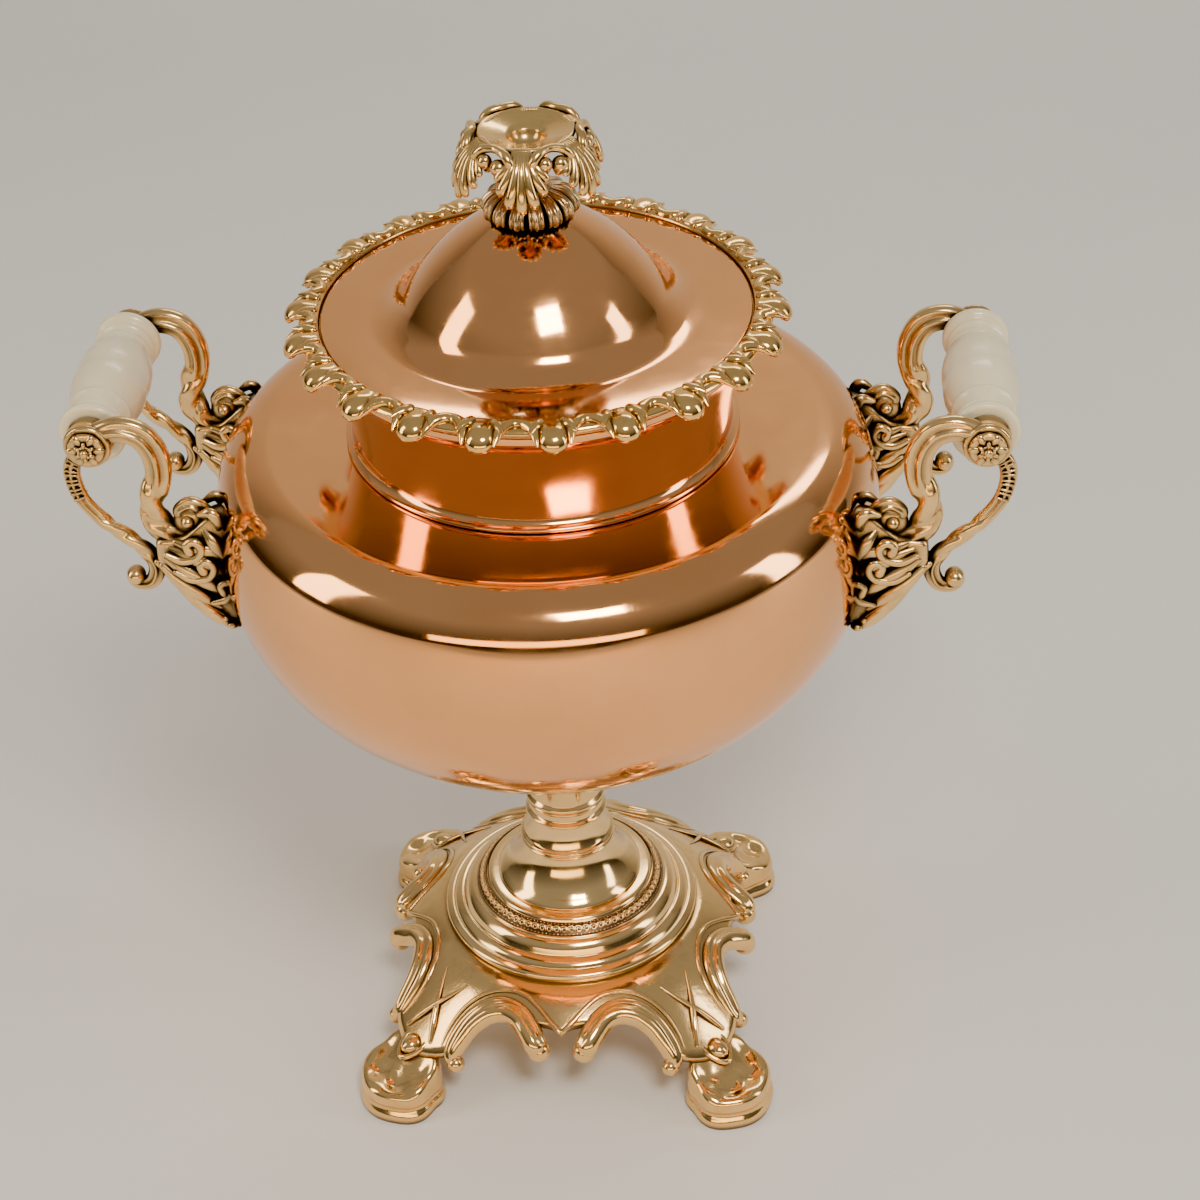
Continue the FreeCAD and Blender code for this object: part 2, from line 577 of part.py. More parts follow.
# ---- pedestal -------------------------------------------------------------------------------------
turned("bowl_socket", [
    ("tie_radius + tie_gap", "socket_foot_height"),
    ("stem_radius", "socket_foot_height"),
    ("ring_radius", "socket_foot_height + 0.6", "2", 1),
    ("stem_radius + 0.6", "socket_foot_height + 4", "3", 1),
    ("seat_radius - 2", "%s - 3" % SEAT_Z, "42", -1),
    ("seat_radius", SEAT_Z, "3", 1),
    ("tie_radius + tie_gap", SEAT_Z),
])
turned("pedestal_stem", [
    ("tie_radius + tie_gap", "stem_foot_height"),
    ("cone_radius", "stem_foot_height"),
    ("low_ring_radius - 0.6", "low_ring_height - 1.6", "24", -1),
    ("low_ring_radius", "low_ring_height", "1.2", 1),
    ("low_ring_radius - 1", "low_ring_height + 1.8", "1.2", 1),
    ("low_ring_radius - 1.2", "low_ring_height + 4.4", "1.6", 1),
    ("stem_radius", "low_ring_height + 5", "2.2", -1),
    ("stem_radius", "low_ring_height + 14.5"),
    ("ring_radius", "low_ring_height + 16", "1.6", 1),
    ("stem_radius", "low_ring_height + 18", "2", 1),
    ("stem_radius", "socket_foot_height"),
    ("tie_radius + tie_gap", "socket_foot_height"),
])
turned("pedestal_foot", [
    ("tie_radius + tie_gap", "plinth_top + 9"),
    ("groove_radius - 9", "plinth_top + 9"),
    ("round_foot_radius - 6", "plinth_top", "16", -1),
    ("round_foot_radius", "plinth_top"),
    ("round_foot_radius - 1", "plinth_top + 4.5", "3", 1),
    ("groove_radius + 0.6", "groove_height - 1.4", "13", 1),
    ("groove_radius", "groove_height", "1.6", -1),
    ("band_outer + 1.2", "band_height - 0.4", "6", 1),
    ("band_outer", "band_height", "0.9", 1),
    ("cone_radius + 5.5", "stem_foot_height - 0.6"),
    ("cone_radius + 2", "stem_foot_height", "2.6", 1),
    ("tie_radius + tie_gap", "stem_foot_height"),
])

# ---- tie rod through bowl, socket, stem, foot and plinth --------------------------------------------
UNDER_CROWN = "(plinth_top - plinth_wall)"
FLOOR_Z = "(%s + bowl_wall)" % SEAT_Z
rod("tie_rod", "tie_radius", "%s - 11" % UNDER_CROWN, "%s + 7" % FLOOR_Z)
washer("tie_rod_washer", "3.6 * tie_radius", "tie_radius", "%s - 2" % UNDER_CROWN, UNDER_CROWN)
hexagon("tie_rod_nut", "1.75 * tie_radius", "tie_radius", "%s - 8.5" % UNDER_CROWN, "%s - 2" % UNDER_CROWN)
hexagon("tie_rod_head_nut", "1.75 * tie_radius", "tie_radius", FLOOR_Z, "%s + 5.5" % FLOOR_Z)

# ---- plinth: a domed square with scrolled arches -----------------------------------------------------
SKIRT_ARC = "plinth_arc"


def plinth_dome(inset):
    """The domed sheet from its crown to past its corners, set in by the given size."""
    return [("plinth_crown", "plinth_top - %s" % inset),
            ("plinth_skirt - %s" % inset, "skirt_height", "%s - %s" % (SKIRT_ARC, inset), -1),
            ("plinth_skirt + 9", "skirt_height - 8 - 0.5 * %s" % inset, "34", 1)]


dome = revolve_points([("tie_radius + tie_gap", "plinth_top")] + plinth_dome("0")
                      + [("plinth_skirt + 9", "skirt_height - 8 - 0.5 * plinth_wall")]
                      + reverse(plinth_dome("plinth_wall"))[1:]
                      + [("tie_radius + tie_gap", "plinth_top - plinth_wall")])
dome_below = revolve_points([("0", "plinth_top - plinth_wall")] + plinth_dome("plinth_wall")
                            + [("plinth_skirt + 9", "0"), ("0", "0")])


def scroll_points(mirror):
    """End, crest and inner tip of one arch on the side that faces +X."""
    return [Vector(val("scroll_end_reach"), mirror * val("scroll_end_side"), val("scroll_end_height")),
            Vector(val("scroll_crest_reach"), mirror * val("scroll_crest_side"), val("scroll_crest_height")),
            Vector(val("scroll_tip_reach"), mirror * val("scroll_tip_side"), val("scroll_tip_height"))]


def flat(point):
    return Vector(point.x, point.y, 0)


def plinth_outline():
    """Plan of the plinth: two arches and a spur on each side, a cut corner over each foot."""
    edges = []
    for quarter in range(4):
        spin = Placement(Vector(), Rotation(Vector(0, 0, 1), 90 * quarter))
        side = []
        outer, crest, tip = [flat(p) for p in scroll_points(-1)]
        spur = Vector(val("spur_reach"), 0, 0)
        tip2, crest2, outer2 = [flat(p) for p in reversed(scroll_points(1))]
        corner = Vector(val("corner_cut"), val("scroll_end_reach"), 0)
        corner2 = Vector(val("scroll_end_reach"), val("corner_cut"), 0)
        next_outer = Vector(val("scroll_end_side"), val("scroll_end_reach"), 0)
        side.append(Part.Arc(outer, crest, tip).toShape())
        side.append(Part.LineSegment(tip, spur).toShape())
        side.append(Part.LineSegment(spur, tip2).toShape())
        side.append(Part.Arc(tip2, crest2, outer2).toShape())
        side.append(Part.LineSegment(outer2, corner2).toShape())
        side.append(Part.LineSegment(corner2, corner).toShape())
        side.append(Part.LineSegment(corner, next_outer).toShape())
        for edge in side:
            edges.append(edge.transformed(spin.Matrix))
    return Part.Face(Part.Wire(Part.__sortEdges__(edges)))


plinth_shape = dome.common(plinth_outline().extrude(Vector(0, 0, val("plinth_top + 1"))))
for quarter in range(4):
    spin = Placement(Vector(), Rotation(Vector(0, 0, 1), 90 * quarter)).Matrix
    reach = val("foot_distance - instep_radius")
    lug = Part.makeCylinder(val("4 * foot_screw_radius"), val("skirt_height + 2 * plinth_wall"),
                            Vector(reach * math.sqrt(0.5), reach * math.sqrt(0.5), val("instep_height")))
    lug = lug.common(dome_below)
    screw_hole = Part.makeCylinder(val("foot_screw_radius"), val("foot_screw_bite"),
                                   Vector(reach * math.sqrt(0.5), reach * math.sqrt(0.5),
                                          val("instep_height")))
    plinth_shape = plinth_shape.fuse(lug.transformed(spin)).cut(screw_hole.transformed(spin))
    for mirror in (-1, 1):
        ends = scroll_points(mirror)
        path = Part.Wire([Part.Arc(*ends).toShape()])
        start = path.Edges[0].tangentAt(path.Edges[0].FirstParameter)
        ring = Part.Wire([Part.Circle(ends[0], start, val("scroll_thickness")).toShape()])
        roll = path.makePipeShell([ring], True, False)
        for end in (ends[0], ends[2]):
            roll = roll.fuse(Part.makeSphere(val("1.15 * scroll_thickness"), end))
        plinth_shape = plinth_shape.fuse(roll.transformed(spin))
plinth = shaped("plinth", plinth_shape)

# ---- feet -------------------------------------------------------------------------------------------


def bun(along, across, radius, height, top_fillet):
    """An upright rounded boss of a foot, in the foot's own diagonal frame."""
    block = Part.makeCylinder(radius, height, Vector(along, across, 0))
    rims = [e for e in block.Edges if abs(e.CenterOfMass.z - height) < 1e-6 and e.Closed]
    return block.makeFillet(top_fillet, rims)


def foot_shape():
    centre, toe = val("foot_distance"), val("toe_radius")
    toe_height, spread = val("toe_height"), val("toe_spread")
    foot = bun(centre - val("instep_radius") + 3, 0, val("instep_radius"), val("instep_height"), 3)
    for along, across in ((centre, -spread), (centre, spread), (centre + 0.55 * toe, 0)):
        foot = foot.fuse(bun(along, across, toe, toe_height, 0.45 * toe))
    hole_at = Vector(centre - val("instep_radius"), 0, 0)
    foot = foot.cut(Part.makeCylinder(val("2 * foot_screw_radius"), 5, hole_at))
    foot = foot.cut(Part.makeCylinder(val("foot_screw_radius"), val("instep_height") + 1, hole_at))
    return foot.removeSplitter()


FEET = ("rear_right", "rear_left", "front_left", "front_right")
foot_solid = foot_shape().cut(plinth_shape.transformed(
    Placement(Vector(), Rotation(Vector(0, 0, 1), -45)).Matrix))
for quarter, where in enumerate(FEET):
    foot = shaped("foot_" + where, foot_solid)
    foot.Placement = Placement(Vector(), Rotation(Vector(0, 0, 1), 45 + 90 * quarter))

screws = []
for quarter in range(4):
    reach = val("foot_distance - instep_radius")
    shank = Part.makeCylinder(val("foot_screw_radius"), val("instep_height"), Vector(reach, 0, 4))
    head = Part.makeCylinder(val("1.8 * foot_screw_radius"), 2.5, Vector(reach, 0, 2.5))
    screw = head.fuse(shank).removeSplitter()
    screws.append(screw.transformed(Placement(Vector(), Rotation(Vector(0, 0, 1), 45 + 90 * quarter)).Matrix))
shaped("foot_screws", Part.makeCompound(screws))

# ---- handle brackets ----------------------------------------------------------------------------------
BOSS_X, BOSS_Z = "bowl_radius + bracket_boss_x", "shoulder_height + bracket_boss_z"
BOSS = Vector(val(BOSS_X), 0, val(BOSS_Z))
UPPER = [(-4, 4.0), (-13, 6.2), (-21.5, 3.4), (-26.5, -5.0), (-27.0, -16.0), (-23.0, -27.0), (-22.5, -36.0),
         (-26.5, -44.0), (-34.0, -48.5), (-42.0, -45.5), (-44.5, -37.0), (-39.0, -31.0), (-32.5, -34.5)]
LOWER = [(7.0, -5.0), (9.5, -18.0), (6.5, -29.0), (-1.5, -40.0), (-10.5, -48.0), (-17.5, -55.5),
         (-20.0, -63.0), (-17.0, -70.5), (-10.5, -72.0), (-7.5, -66.5)]
PAD = [(-22.0, -44.0), (-34.0, -41.0), (-49.0, -27.0), (-70.0, -27.0), (-70.0, -91.0), (-52.5, -90.0),
       (-45.0, -80.0), (-33.0, -68.0), (-20.0, -58.0)]


def from_boss(pairs):
    return [BOSS + Vector(x, 0, z) for x, z in pairs]


def bracket_shape():
    """A cast bracket in the plane Y 0: boss, S-shaped upper arm with its volute, lower arm with its
    tail, and a leaf pad that fits the bowl."""
    width = val("boss_thickness")
    solid = Part.makeCylinder(val("boss_radius"), width, BOSS - Vector(0, width / 2, 0), Vector(0, 1, 0))
    for pairs, radius in ((UPPER, val("upper_arm")), (LOWER, val("lower_arm"))):
        points = from_boss(pairs)
        solid = solid.fuse(tube(points, radius))
        solid = solid.fuse(Part.makeSphere(1.25 * radius, points[-1]))
    pad_width = val("pad_thickness")
    pad = profile_face(from_boss(PAD)).extrude(Vector(0, pad_width, 0))
    pad.translate(Vector(0, -pad_width / 2, 0))
    return solid.fuse(pad)


bracket_solid = bracket_shape()
bracket_solid.translate(Vector(0, -val("bracket_side"), 0))
bracket_solid = bracket_solid.cut(bowl_outside)
bore_start = BOSS + Vector(0, -2 * val("bracket_side"), 0)
bracket_solid = bracket_solid.cut(Part.makeCylinder(val("rod_radius + rod_gap"), 2 * val("bracket_side"),
                                                    bore_start, Vector(0, 1, 0)))
bracket_front_right = shaped("bracket_front_right", bracket_solid.removeSplitter())
bracket_front_left = mirrored("bracket_front_left", bracket_front_right, Vector(1, 0, 0))
mirrored("bracket_rear_right", bracket_front_right, Vector(0, 1, 0))
mirrored("bracket_rear_left", bracket_front_left, Vector(0, 1, 0))

# ---- grips, rods and rosette nuts -----------------------------------------------------------------------
HALF_GRIP = "(bracket_side - boss_thickness / 2)"
GRIP = [
    ("rod_radius + rod_gap", "-%s" % HALF_GRIP),
    ("grip_flange - 1.5", "-%s" % HALF_GRIP),
    ("grip_flange", "-%s + 2.5" % HALF_GRIP, "2.6", 1),
    ("grip_neck", "-%s + 8" % HALF_GRIP, "5.5", 1),
    ("grip_neck + 1.8", "-%s + 13" % HALF_GRIP, "5", 1),
    ("grip_belly", "0", "60", 1),
    ("grip_neck + 1.8", "%s - 13" % HALF_GRIP, "60", 1),
    ("grip_neck", "%s - 8" % HALF_GRIP, "5", 1),
    ("grip_flange", "%s - 2.5" % HALF_GRIP, "5.5", 1),
    ("grip_flange - 1.5", HALF_GRIP, "2.6", 1),
    ("rod_radius + rod_gap", HALF_GRIP),
]
ROD_HALF = "(bracket_side + boss_thickness / 2 + 0.6 * nut_thickness)"
rosettes = []
for side, sign in (("left", -1), ("right", 1)):
    grip = turned("grip_" + side, GRIP)
    place(grip, "%d * (%s)" % (sign, BOSS_X), "0", BOSS_Z, Vector(1, 0, 0), 90)
    bar = doc.addObject("Part::Cylinder", "grip_rod_" + side)
    bar.Label = "grip_rod_" + side
    bar.setExpression("Radius", full("rod_radius"))
    bar.setExpression("Height", full("2 * %s" % ROD_HALF))
    place(bar, "%d * (%s)" % (sign, BOSS_X), ROD_HALF, BOSS_Z, Vector(1, 0, 0), 90)
    pieces.append(bar)

nut_profile = [("0", "0.6 * nut_thickness"), ("rod_radius", "0.6 * nut_thickness"), ("rod_radius", "0"),
               ("nut_radius", "0"), ("nut_radius", "0.3 * nut_thickness"),
               ("0.45 * nut_radius", "0.8 * nut_thickness", "0.9 * nut_radius", 1),
               ("0.1 * nut_radius", "nut_thickness", "0.7 * nut_radius", 1), ("0", "nut_thickness")]
rosette = revolve_points(nut_profile)
for sx in (-1, 1):
    for sy in (-1, 1):
        face = val("bracket_side + boss_thickness / 2")
        spot = Placement(Vector(sx * BOSS.x, sy * face, BOSS.z), Rotation(Vector(1, 0, 0), -90 * sy))
        rosettes.append(rosette.transformed(spot.Matrix))
shaped("rosette_nuts", Part.makeCompound(rosettes))

# ---- tap ---------------------------------------------------------------------------------------------------


def along_y(radius, start, length, x=0.0, z=None):
    height = val("tap_height") if z is None else z
    return Part.makeCylinder(radius, length, Vector(x, start, height), Vector(0, 1, 0))


def wall_radius(solid, height):
    """Radius of the bowl's inner or outer solid at a height."""
    return Part.makeLine(Vector(0, 0, height), Vector(0, val("2 * bowl_radius"), height)).common(solid).Length


tap_z, shank, rose_radius = val("tap_height"), val("shank_radius"), val("rose_radius")
barrel, plug_y = val("barrel_radius"), val("plug_distance")
rose_face = wall_radius(bowl_outside, tap_z + barrel + 2) + val("rose_face")
rose_start = wall_radius(bowl_outside, tap_z - rose_radius) - 5
rose = along_y(rose_radius, rose_start, rose_face - 2 - rose_start)
rose = rose.fuse(along_y(0.75 * rose_radius, rose_start, rose_face - rose_start))
rose = rose.cut(bowl_outside).cut(along_y(shank + val("seat_gap"), rose_start - 1, rose_face - rose_start + 2))
shaped("tap_flange", rose.removeSplitter())

saddle_face = wall_radius(bowl_inside, tap_z - 2 * shank) - val("saddle_edge")
WALL_END = saddle_face - val("back_nut_height") - 0.5
half = val("housing_half")
bend, tube_radius = val("spout_bend"), val("spout_radius")
bend_start = Vector(0, plug_y, tap_z)
bend_end = Vector(0, plug_y + bend + 4, tap_z - bend)
bend_mid = Vector(0, plug_y + 4 + bend * math.sin(math.pi / 4), tap_z - bend * (1 - math.cos(math.pi / 4)))
spout_line = Part.Wire([
    Part.LineSegment(bend_start, bend_start + Vector(0, 4, 0)).toShape(),
    Part.Arc(bend_start + Vector(0, 4, 0), bend_mid, bend_end).toShape(),
    Part.LineSegment(bend_end, bend_end - Vector(0, 0, val("spout_drop"))).toShape()])


def along_spout(radius):
    ring = Part.Wire([Part.Circle(bend_start, Vector(0, 1, 0), radius).toShape()])
    return spout_line.makePipeShell([ring], True, False)


spout_end = bend_end - Vector(0, 0, val("spout_drop"))
body_shape = along_y(shank, WALL_END, rose_face - WALL_END).fuse(along_y(barrel, rose_face, plug_y - rose_face))
body_shape = body_shape.fuse(along_y(barrel + 2, rose_face, 3))
body_shape = body_shape.fuse(Part.makeCylinder(val("housing_radius"), 2 * half, Vector(0, plug_y, tap_z - half)))
body_shape = body_shape.fuse(along_spout(tube_radius))
body_shape = body_shape.fuse(Part.makeCylinder(tube_radius + 1.6, 3, spout_end))
body_shape = body_shape.cut(along_y(val("bore_radius"), WALL_END, plug_y - WALL_END))
body_shape = body_shape.cut(along_spout(val("bore_radius")))
plug_r, taper, fit = val("plug_radius"), val("plug_taper"), val("plug_gap")
seat_cone = Part.makeCone(plug_r - taper + fit, plug_r + taper + fit, 2 * half, Vector(0, plug_y, tap_z - half))
shaped("tap_body", body_shape.cut(seat_cone).removeSplitter())

plug = Part.makeCone(plug_r - taper, plug_r + taper, 2 * half, Vector(0, plug_y, tap_z - half))
plug = plug.cut(Part.makeCylinder(val("bore_radius"), 40, Vector(-20, plug_y, tap_z), Vector(1, 0, 0)))
key_z = tap_z + half + val("key_rise")
plug = plug.fuse(Part.makeCylinder(plug_r + 1.8, 2, Vector(0, plug_y, tap_z + half + 0.3)))
plug = plug.fuse(Part.makeCylinder(plug_r - taper, 0.3, Vector(0, plug_y, tap_z + half)))
plug = plug.fuse(Part.makeCylinder(4.2, val("key_rise - key_waist"), Vector(0, plug_y, tap_z + half)))
plug = plug.fuse(Part.makeCylinder(2.2, val("2 * key_waist") + 3, Vector(0, plug_y, key_z - val("key_waist"))))
plug = plug.fuse(Part.makeCylinder(3.0, 9, Vector(0, plug_y, tap_z - half - 9)))
shaped("tap_plug", plug.removeSplitter())

key = turned("tap_key_handle", [
    ("0", "-key_length / 2"),
    ("1", "-key_length / 2"),
    ("key_bulge", "-0.36 * key_length", "1.05 * key_bulge", 1),
    ("key_waist", "-0.12 * key_length", "3 * key_bulge", 1),
    ("key_waist", "0.12 * key_length"),
    ("key_bulge", "0.36 * key_length", "3 * key_bulge", 1),
    ("1", "key_length / 2", "1.05 * key_bulge", 1),
    ("0", "key_length / 2"),
])
cross = key.newObject("PartDesign::SubtractiveCylinder", "StemHole")
cross.AttachmentSupport = [(origin_plane(key, "YZ_Plane"), "")]
cross.MapMode = "FlatFace"
cross.setExpression("AttachmentOffset.Base.z", full("-2 * key_bulge"))
cross.Radius = 2.2
cross.setExpression("Height", full("4 * key_bulge"))
place(key, "0", "plug_distance", "tap_height + housing_half + key_rise", Vector(0, 1, 0), 90)
KEY_TOP = "tap_height + housing_half + key_rise + key_waist"
cap = turned("tap_key_cap", [
    ("2.2", KEY_TOP), ("4.4", KEY_TOP), ("0", "%s + 4.4" % KEY_TOP, "4.4", 1), ("0", "%s + 3" % KEY_TOP),
    ("2.2", "%s + 3" % KEY_TOP)])
place(cap, "0", "plug_distance")
KEEPER = "tap_height - housing_half - seat_gap"
keeper = washer("tap_plug_washer", "8.5", "3", "%s - 1.6" % KEEPER, KEEPER)
place(keeper, "0", "plug_distance")
lock = hexagon("tap_plug_nut", "5.2", "3", "%s - 6.6" % KEEPER, "%s - 1.6" % KEEPER)
place(lock, "0", "plug_distance")

saddle = along_y(2 * shank, saddle_face, rose_face - saddle_face).common(bowl_inside)
saddle = saddle.cut(along_y(shank + val("seat_gap"), saddle_face - 1, rose_face - saddle_face + 2))
shaped("tap_saddle_washer", saddle.removeSplitter())
back = hexagon("tap_back_nut", "1.5 * shank_radius", "shank_radius", "0", "back_nut_height")
place(back, "0", "%.4f - back_nut_height" % saddle_face, "tap_height", Vector(1, 0, 0), -90)

# ---- heater sleeve, slug and cap --------------------------------------------------------------------------
turned("heater_sleeve", [
    ("0", "sleeve_floor"),
    ("sleeve_radius - sleeve_wall", "sleeve_floor"),
    ("sleeve_radius - sleeve_wall", FLOOR_Z),
    ("sleeve_radius", FLOOR_Z),
    ("sleeve_radius", "sleeve_top"),
    ("sleeve_radius - sleeve_wall", "sleeve_top"),
    ("sleeve_radius - sleeve_wall", "sleeve_floor + sleeve_wall"),
    ("0", "sleeve_floor + sleeve_wall"),
])
turned("sleeve_seat", [
    ("sleeve_radius", FLOOR_Z),
    ("sleeve_radius + 8", FLOOR_Z),
    ("sleeve_radius + 8", "%s + 2" % FLOOR_Z),
    ("sleeve_radius + 2", "%s + 7" % FLOOR_Z, "6", -1),
    ("sleeve_radius", "%s + 7" % FLOOR_Z),
])
slug_z = val("sleeve_floor + sleeve_wall")
slug = Part.makeCylinder(val("slug_radius"), val("slug_length"), Vector(0, 0, slug_z))
slug = slug.makeChamfer(2, [e for e in slug.Edges if e.Closed])
eye = Part.makeTorus(val("eye_radius"), val("eye_wire"),
                     Vector(0, 0, slug_z + val("slug_length + eye_radius + 0.4 * eye_wire")), Vector(0, 1, 0))
shaped("heater_slug", slug.fuse(eye).removeSplitter())
turned("sleeve_cap", [
    ("0", "sleeve_top - 6"),
    ("sleeve_radius - sleeve_wall - seat_gap", "sleeve_top - 6"),
    ("sleeve_radius - sleeve_wall - seat_gap", "sleeve_top"),
    ("cap_radius", "sleeve_top"),
    ("cap_radius", "sleeve_top + cap_thickness"),
    ("3.2", "sleeve_top + cap_thickness"),
    ("3.2", "sleeve_top + cap_thickness + 4"),
    ("5.5", "sleeve_top + cap_thickness + 9", "6", 1),
    ("1", "sleeve_top + cap_thickness + 13", "6", 1),
    ("0", "sleeve_top + cap_thickness + 13"),
])

# ---- hand over ---------------------------------------------------------------------------------------------
doc.recompute()
faults = [o.Name for o in doc.Objects if "Invalid" in o.State or "Error" in o.State]
for piece in pieces:
    if piece.Shape.isNull() or not piece.Shape.isValid() or not piece.Shape.Solids:
        faults.append(piece.Label)
if faults:
    raise RuntimeError("not sound: " + ", ".join(faults))
os.makedirs("parts", exist_ok=True)
for piece in pieces:
    piece.Shape.exportStep(os.path.join("parts", piece.Label + ".step"))
print(len(pieces), "pieces written")
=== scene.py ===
import math

import bmesh
import bpy
import numpy as np
from mathutils import Matrix, Vector


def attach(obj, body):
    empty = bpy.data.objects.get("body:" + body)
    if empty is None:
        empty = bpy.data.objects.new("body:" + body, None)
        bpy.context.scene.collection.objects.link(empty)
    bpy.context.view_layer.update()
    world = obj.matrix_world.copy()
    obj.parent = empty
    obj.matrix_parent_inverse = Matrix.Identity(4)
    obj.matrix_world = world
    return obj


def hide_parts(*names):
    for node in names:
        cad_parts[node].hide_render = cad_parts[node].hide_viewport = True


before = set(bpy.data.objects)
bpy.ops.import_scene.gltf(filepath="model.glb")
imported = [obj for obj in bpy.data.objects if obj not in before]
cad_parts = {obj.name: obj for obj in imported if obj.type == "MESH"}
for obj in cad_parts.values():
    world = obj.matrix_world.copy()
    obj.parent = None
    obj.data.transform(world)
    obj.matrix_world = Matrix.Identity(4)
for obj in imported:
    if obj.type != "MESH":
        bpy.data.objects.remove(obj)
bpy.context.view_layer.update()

# All sizes are in millimetres until a piece is made. Z is up, the tap points to +Y, the grips stand at
# -X and +X.
MM = 0.001
TAU = 2 * math.pi

# Heights and radii that neighbouring pieces share
BORE = 3.9
PLINTH_TOP = 57.0
FOOT_TOP = 78
STEM_TOP = 124
SOCKET_TOP = 167.07
SHOULDER_HOLE = 81.8
LID_TOP = 427.6


# Curves and shapes
def arc(a, b, radius, side, step=2.5):
    """Points after a up to b on an arc; side 1 puts its centre to the left of the way from a to b."""
    a, b = np.array(a, float), np.array(b, float)
    chord = b - a
    length = np.hypot(*chord)
    left = np.array([-chord[1], chord[0]]) / length
    centre = (a + b) / 2 + side * math.sqrt(max(radius ** 2 - length ** 2 / 4, 0)) * left
    first = math.atan2(*(a - centre)[::-1])
    turn = side * 2 * math.asin(min(1, length / 2 / radius))
    count = max(3, int(abs(math.degrees(turn)) / step))
    angles = first + turn * np.arange(1, count + 1) / count
    return [(centre[0] + radius * math.cos(t), centre[1] + radius * math.sin(t)) for t in angles]


def route(corners, step=2.5):
    """Points along corners (x, y) or, where an arc arrives, (x, y, radius, side)."""
    points = []
    for corner in corners:
        if len(corner) == 4:
            points += arc(points[-1], corner[:2], corner[2], corner[3], step)
        else:
            points.append(tuple(corner))
    return points


def eased(points, radius, sharp=22):
    """The closed outline with every corner sharper than that many degrees turned into a small round."""
    done = []
    count = len(points)
    for i, point in enumerate(points):
        p = np.array(point, float)
        a, b = np.array(points[i - 1], float), np.array(points[(i + 1) % count], float)
        before, after = a - p, b - p
        la, lb = np.hypot(*before), np.hypot(*after)
        if la < 1e-6 or lb < 1e-6:
            continue
        turn = math.degrees(math.acos(np.clip(-before @ after / la / lb, -1, 1)))
        if turn < sharp or abs(p[0]) < 1e-6:
            done.append(tuple(p))
            continue
        cut = min(radius, 0.45 * la, 0.45 * lb)
        start, end = p + before / la * cut, p + after / lb * cut
        for t in (0, 0.25, 0.5, 0.75, 1):
            done.append(tuple((1 - t) ** 2 * start + 2 * t * (1 - t) * p + t * t * end))
    return done


def spline(points, count):
    """Even points on a smooth curve through the given ones, with any number of columns."""
    p = np.array(points, float)
    p = np.vstack([2 * p[0] - p[1], p, 2 * p[-1] - p[-2]])
    dense = []
    for i in range(1, len(p) - 2):
        t = np.linspace(0, 1, 24, endpoint=False)[:, None]
        a, b, c, d = p[i - 1], p[i], p[i + 1], p[i + 2]
        dense.append(0.5 * (2 * b + (c - a) * t + (2 * a - 5 * b + 4 * c - d) * t ** 2
                            + (3 * b - a - 3 * c + d) * t ** 3))
    dense = np.vstack(dense + [p[-2:-1]])
    run = np.concatenate([[0], np.cumsum(np.linalg.norm(np.diff(dense[:, :3], axis=0), axis=1))])
    want = np.linspace(0, run[-1], count)
    return np.stack([np.interp(want, run, column) for column in dense.T], axis=1)


def grid_faces(rows, columns, start=0):
    """Faces between neighbouring rows of points, each row closed into a ring."""
    faces = []
    for i in range(rows - 1):
        for j in range(columns):
            k = (j + 1) % columns
            faces.append((start + i * columns + j, start + i * columns + k,
                          start + (i + 1) * columns + k, start + (i + 1) * columns + j))
    return faces


def lathe(profile, segments=160, wave=None):
    """Turns a closed outline (radius, height) about Z.
    wave(angles, radius, height, row) moves the points of a row."""
    angles = np.arange(segments) * TAU / segments
    verts, faces, rings = [], [], []
    for row, (r, z) in enumerate(profile):
        if r < 1e-6:
            rings.append([len(verts)])
            verts.append((0, 0, z))
            continue
        radius, height = np.full(segments, float(r)), np.full(segments, float(z))
        if wave:
            radius, height = wave(angles, radius, height, row)
        rings.append(list(range(len(verts), len(verts) + segments)))
        verts += list(zip(radius * np.cos(angles), radius * np.sin(angles), height))
    for i, a in enumerate(rings):
        b = rings[(i + 1) % len(rings)]
        if len(a) == 1 and len(b) == 1:
            continue
        for j in range(segments):
            k = (j + 1) % segments
            if len(a) == 1:
                faces.append((a[0], b[k], b[j]))
            elif len(b) == 1:
                faces.append((a[j], a[k], b[0]))
            else:
                faces.append((a[j], a[k], b[k], b[j]))
    return np.array(verts, float), faces


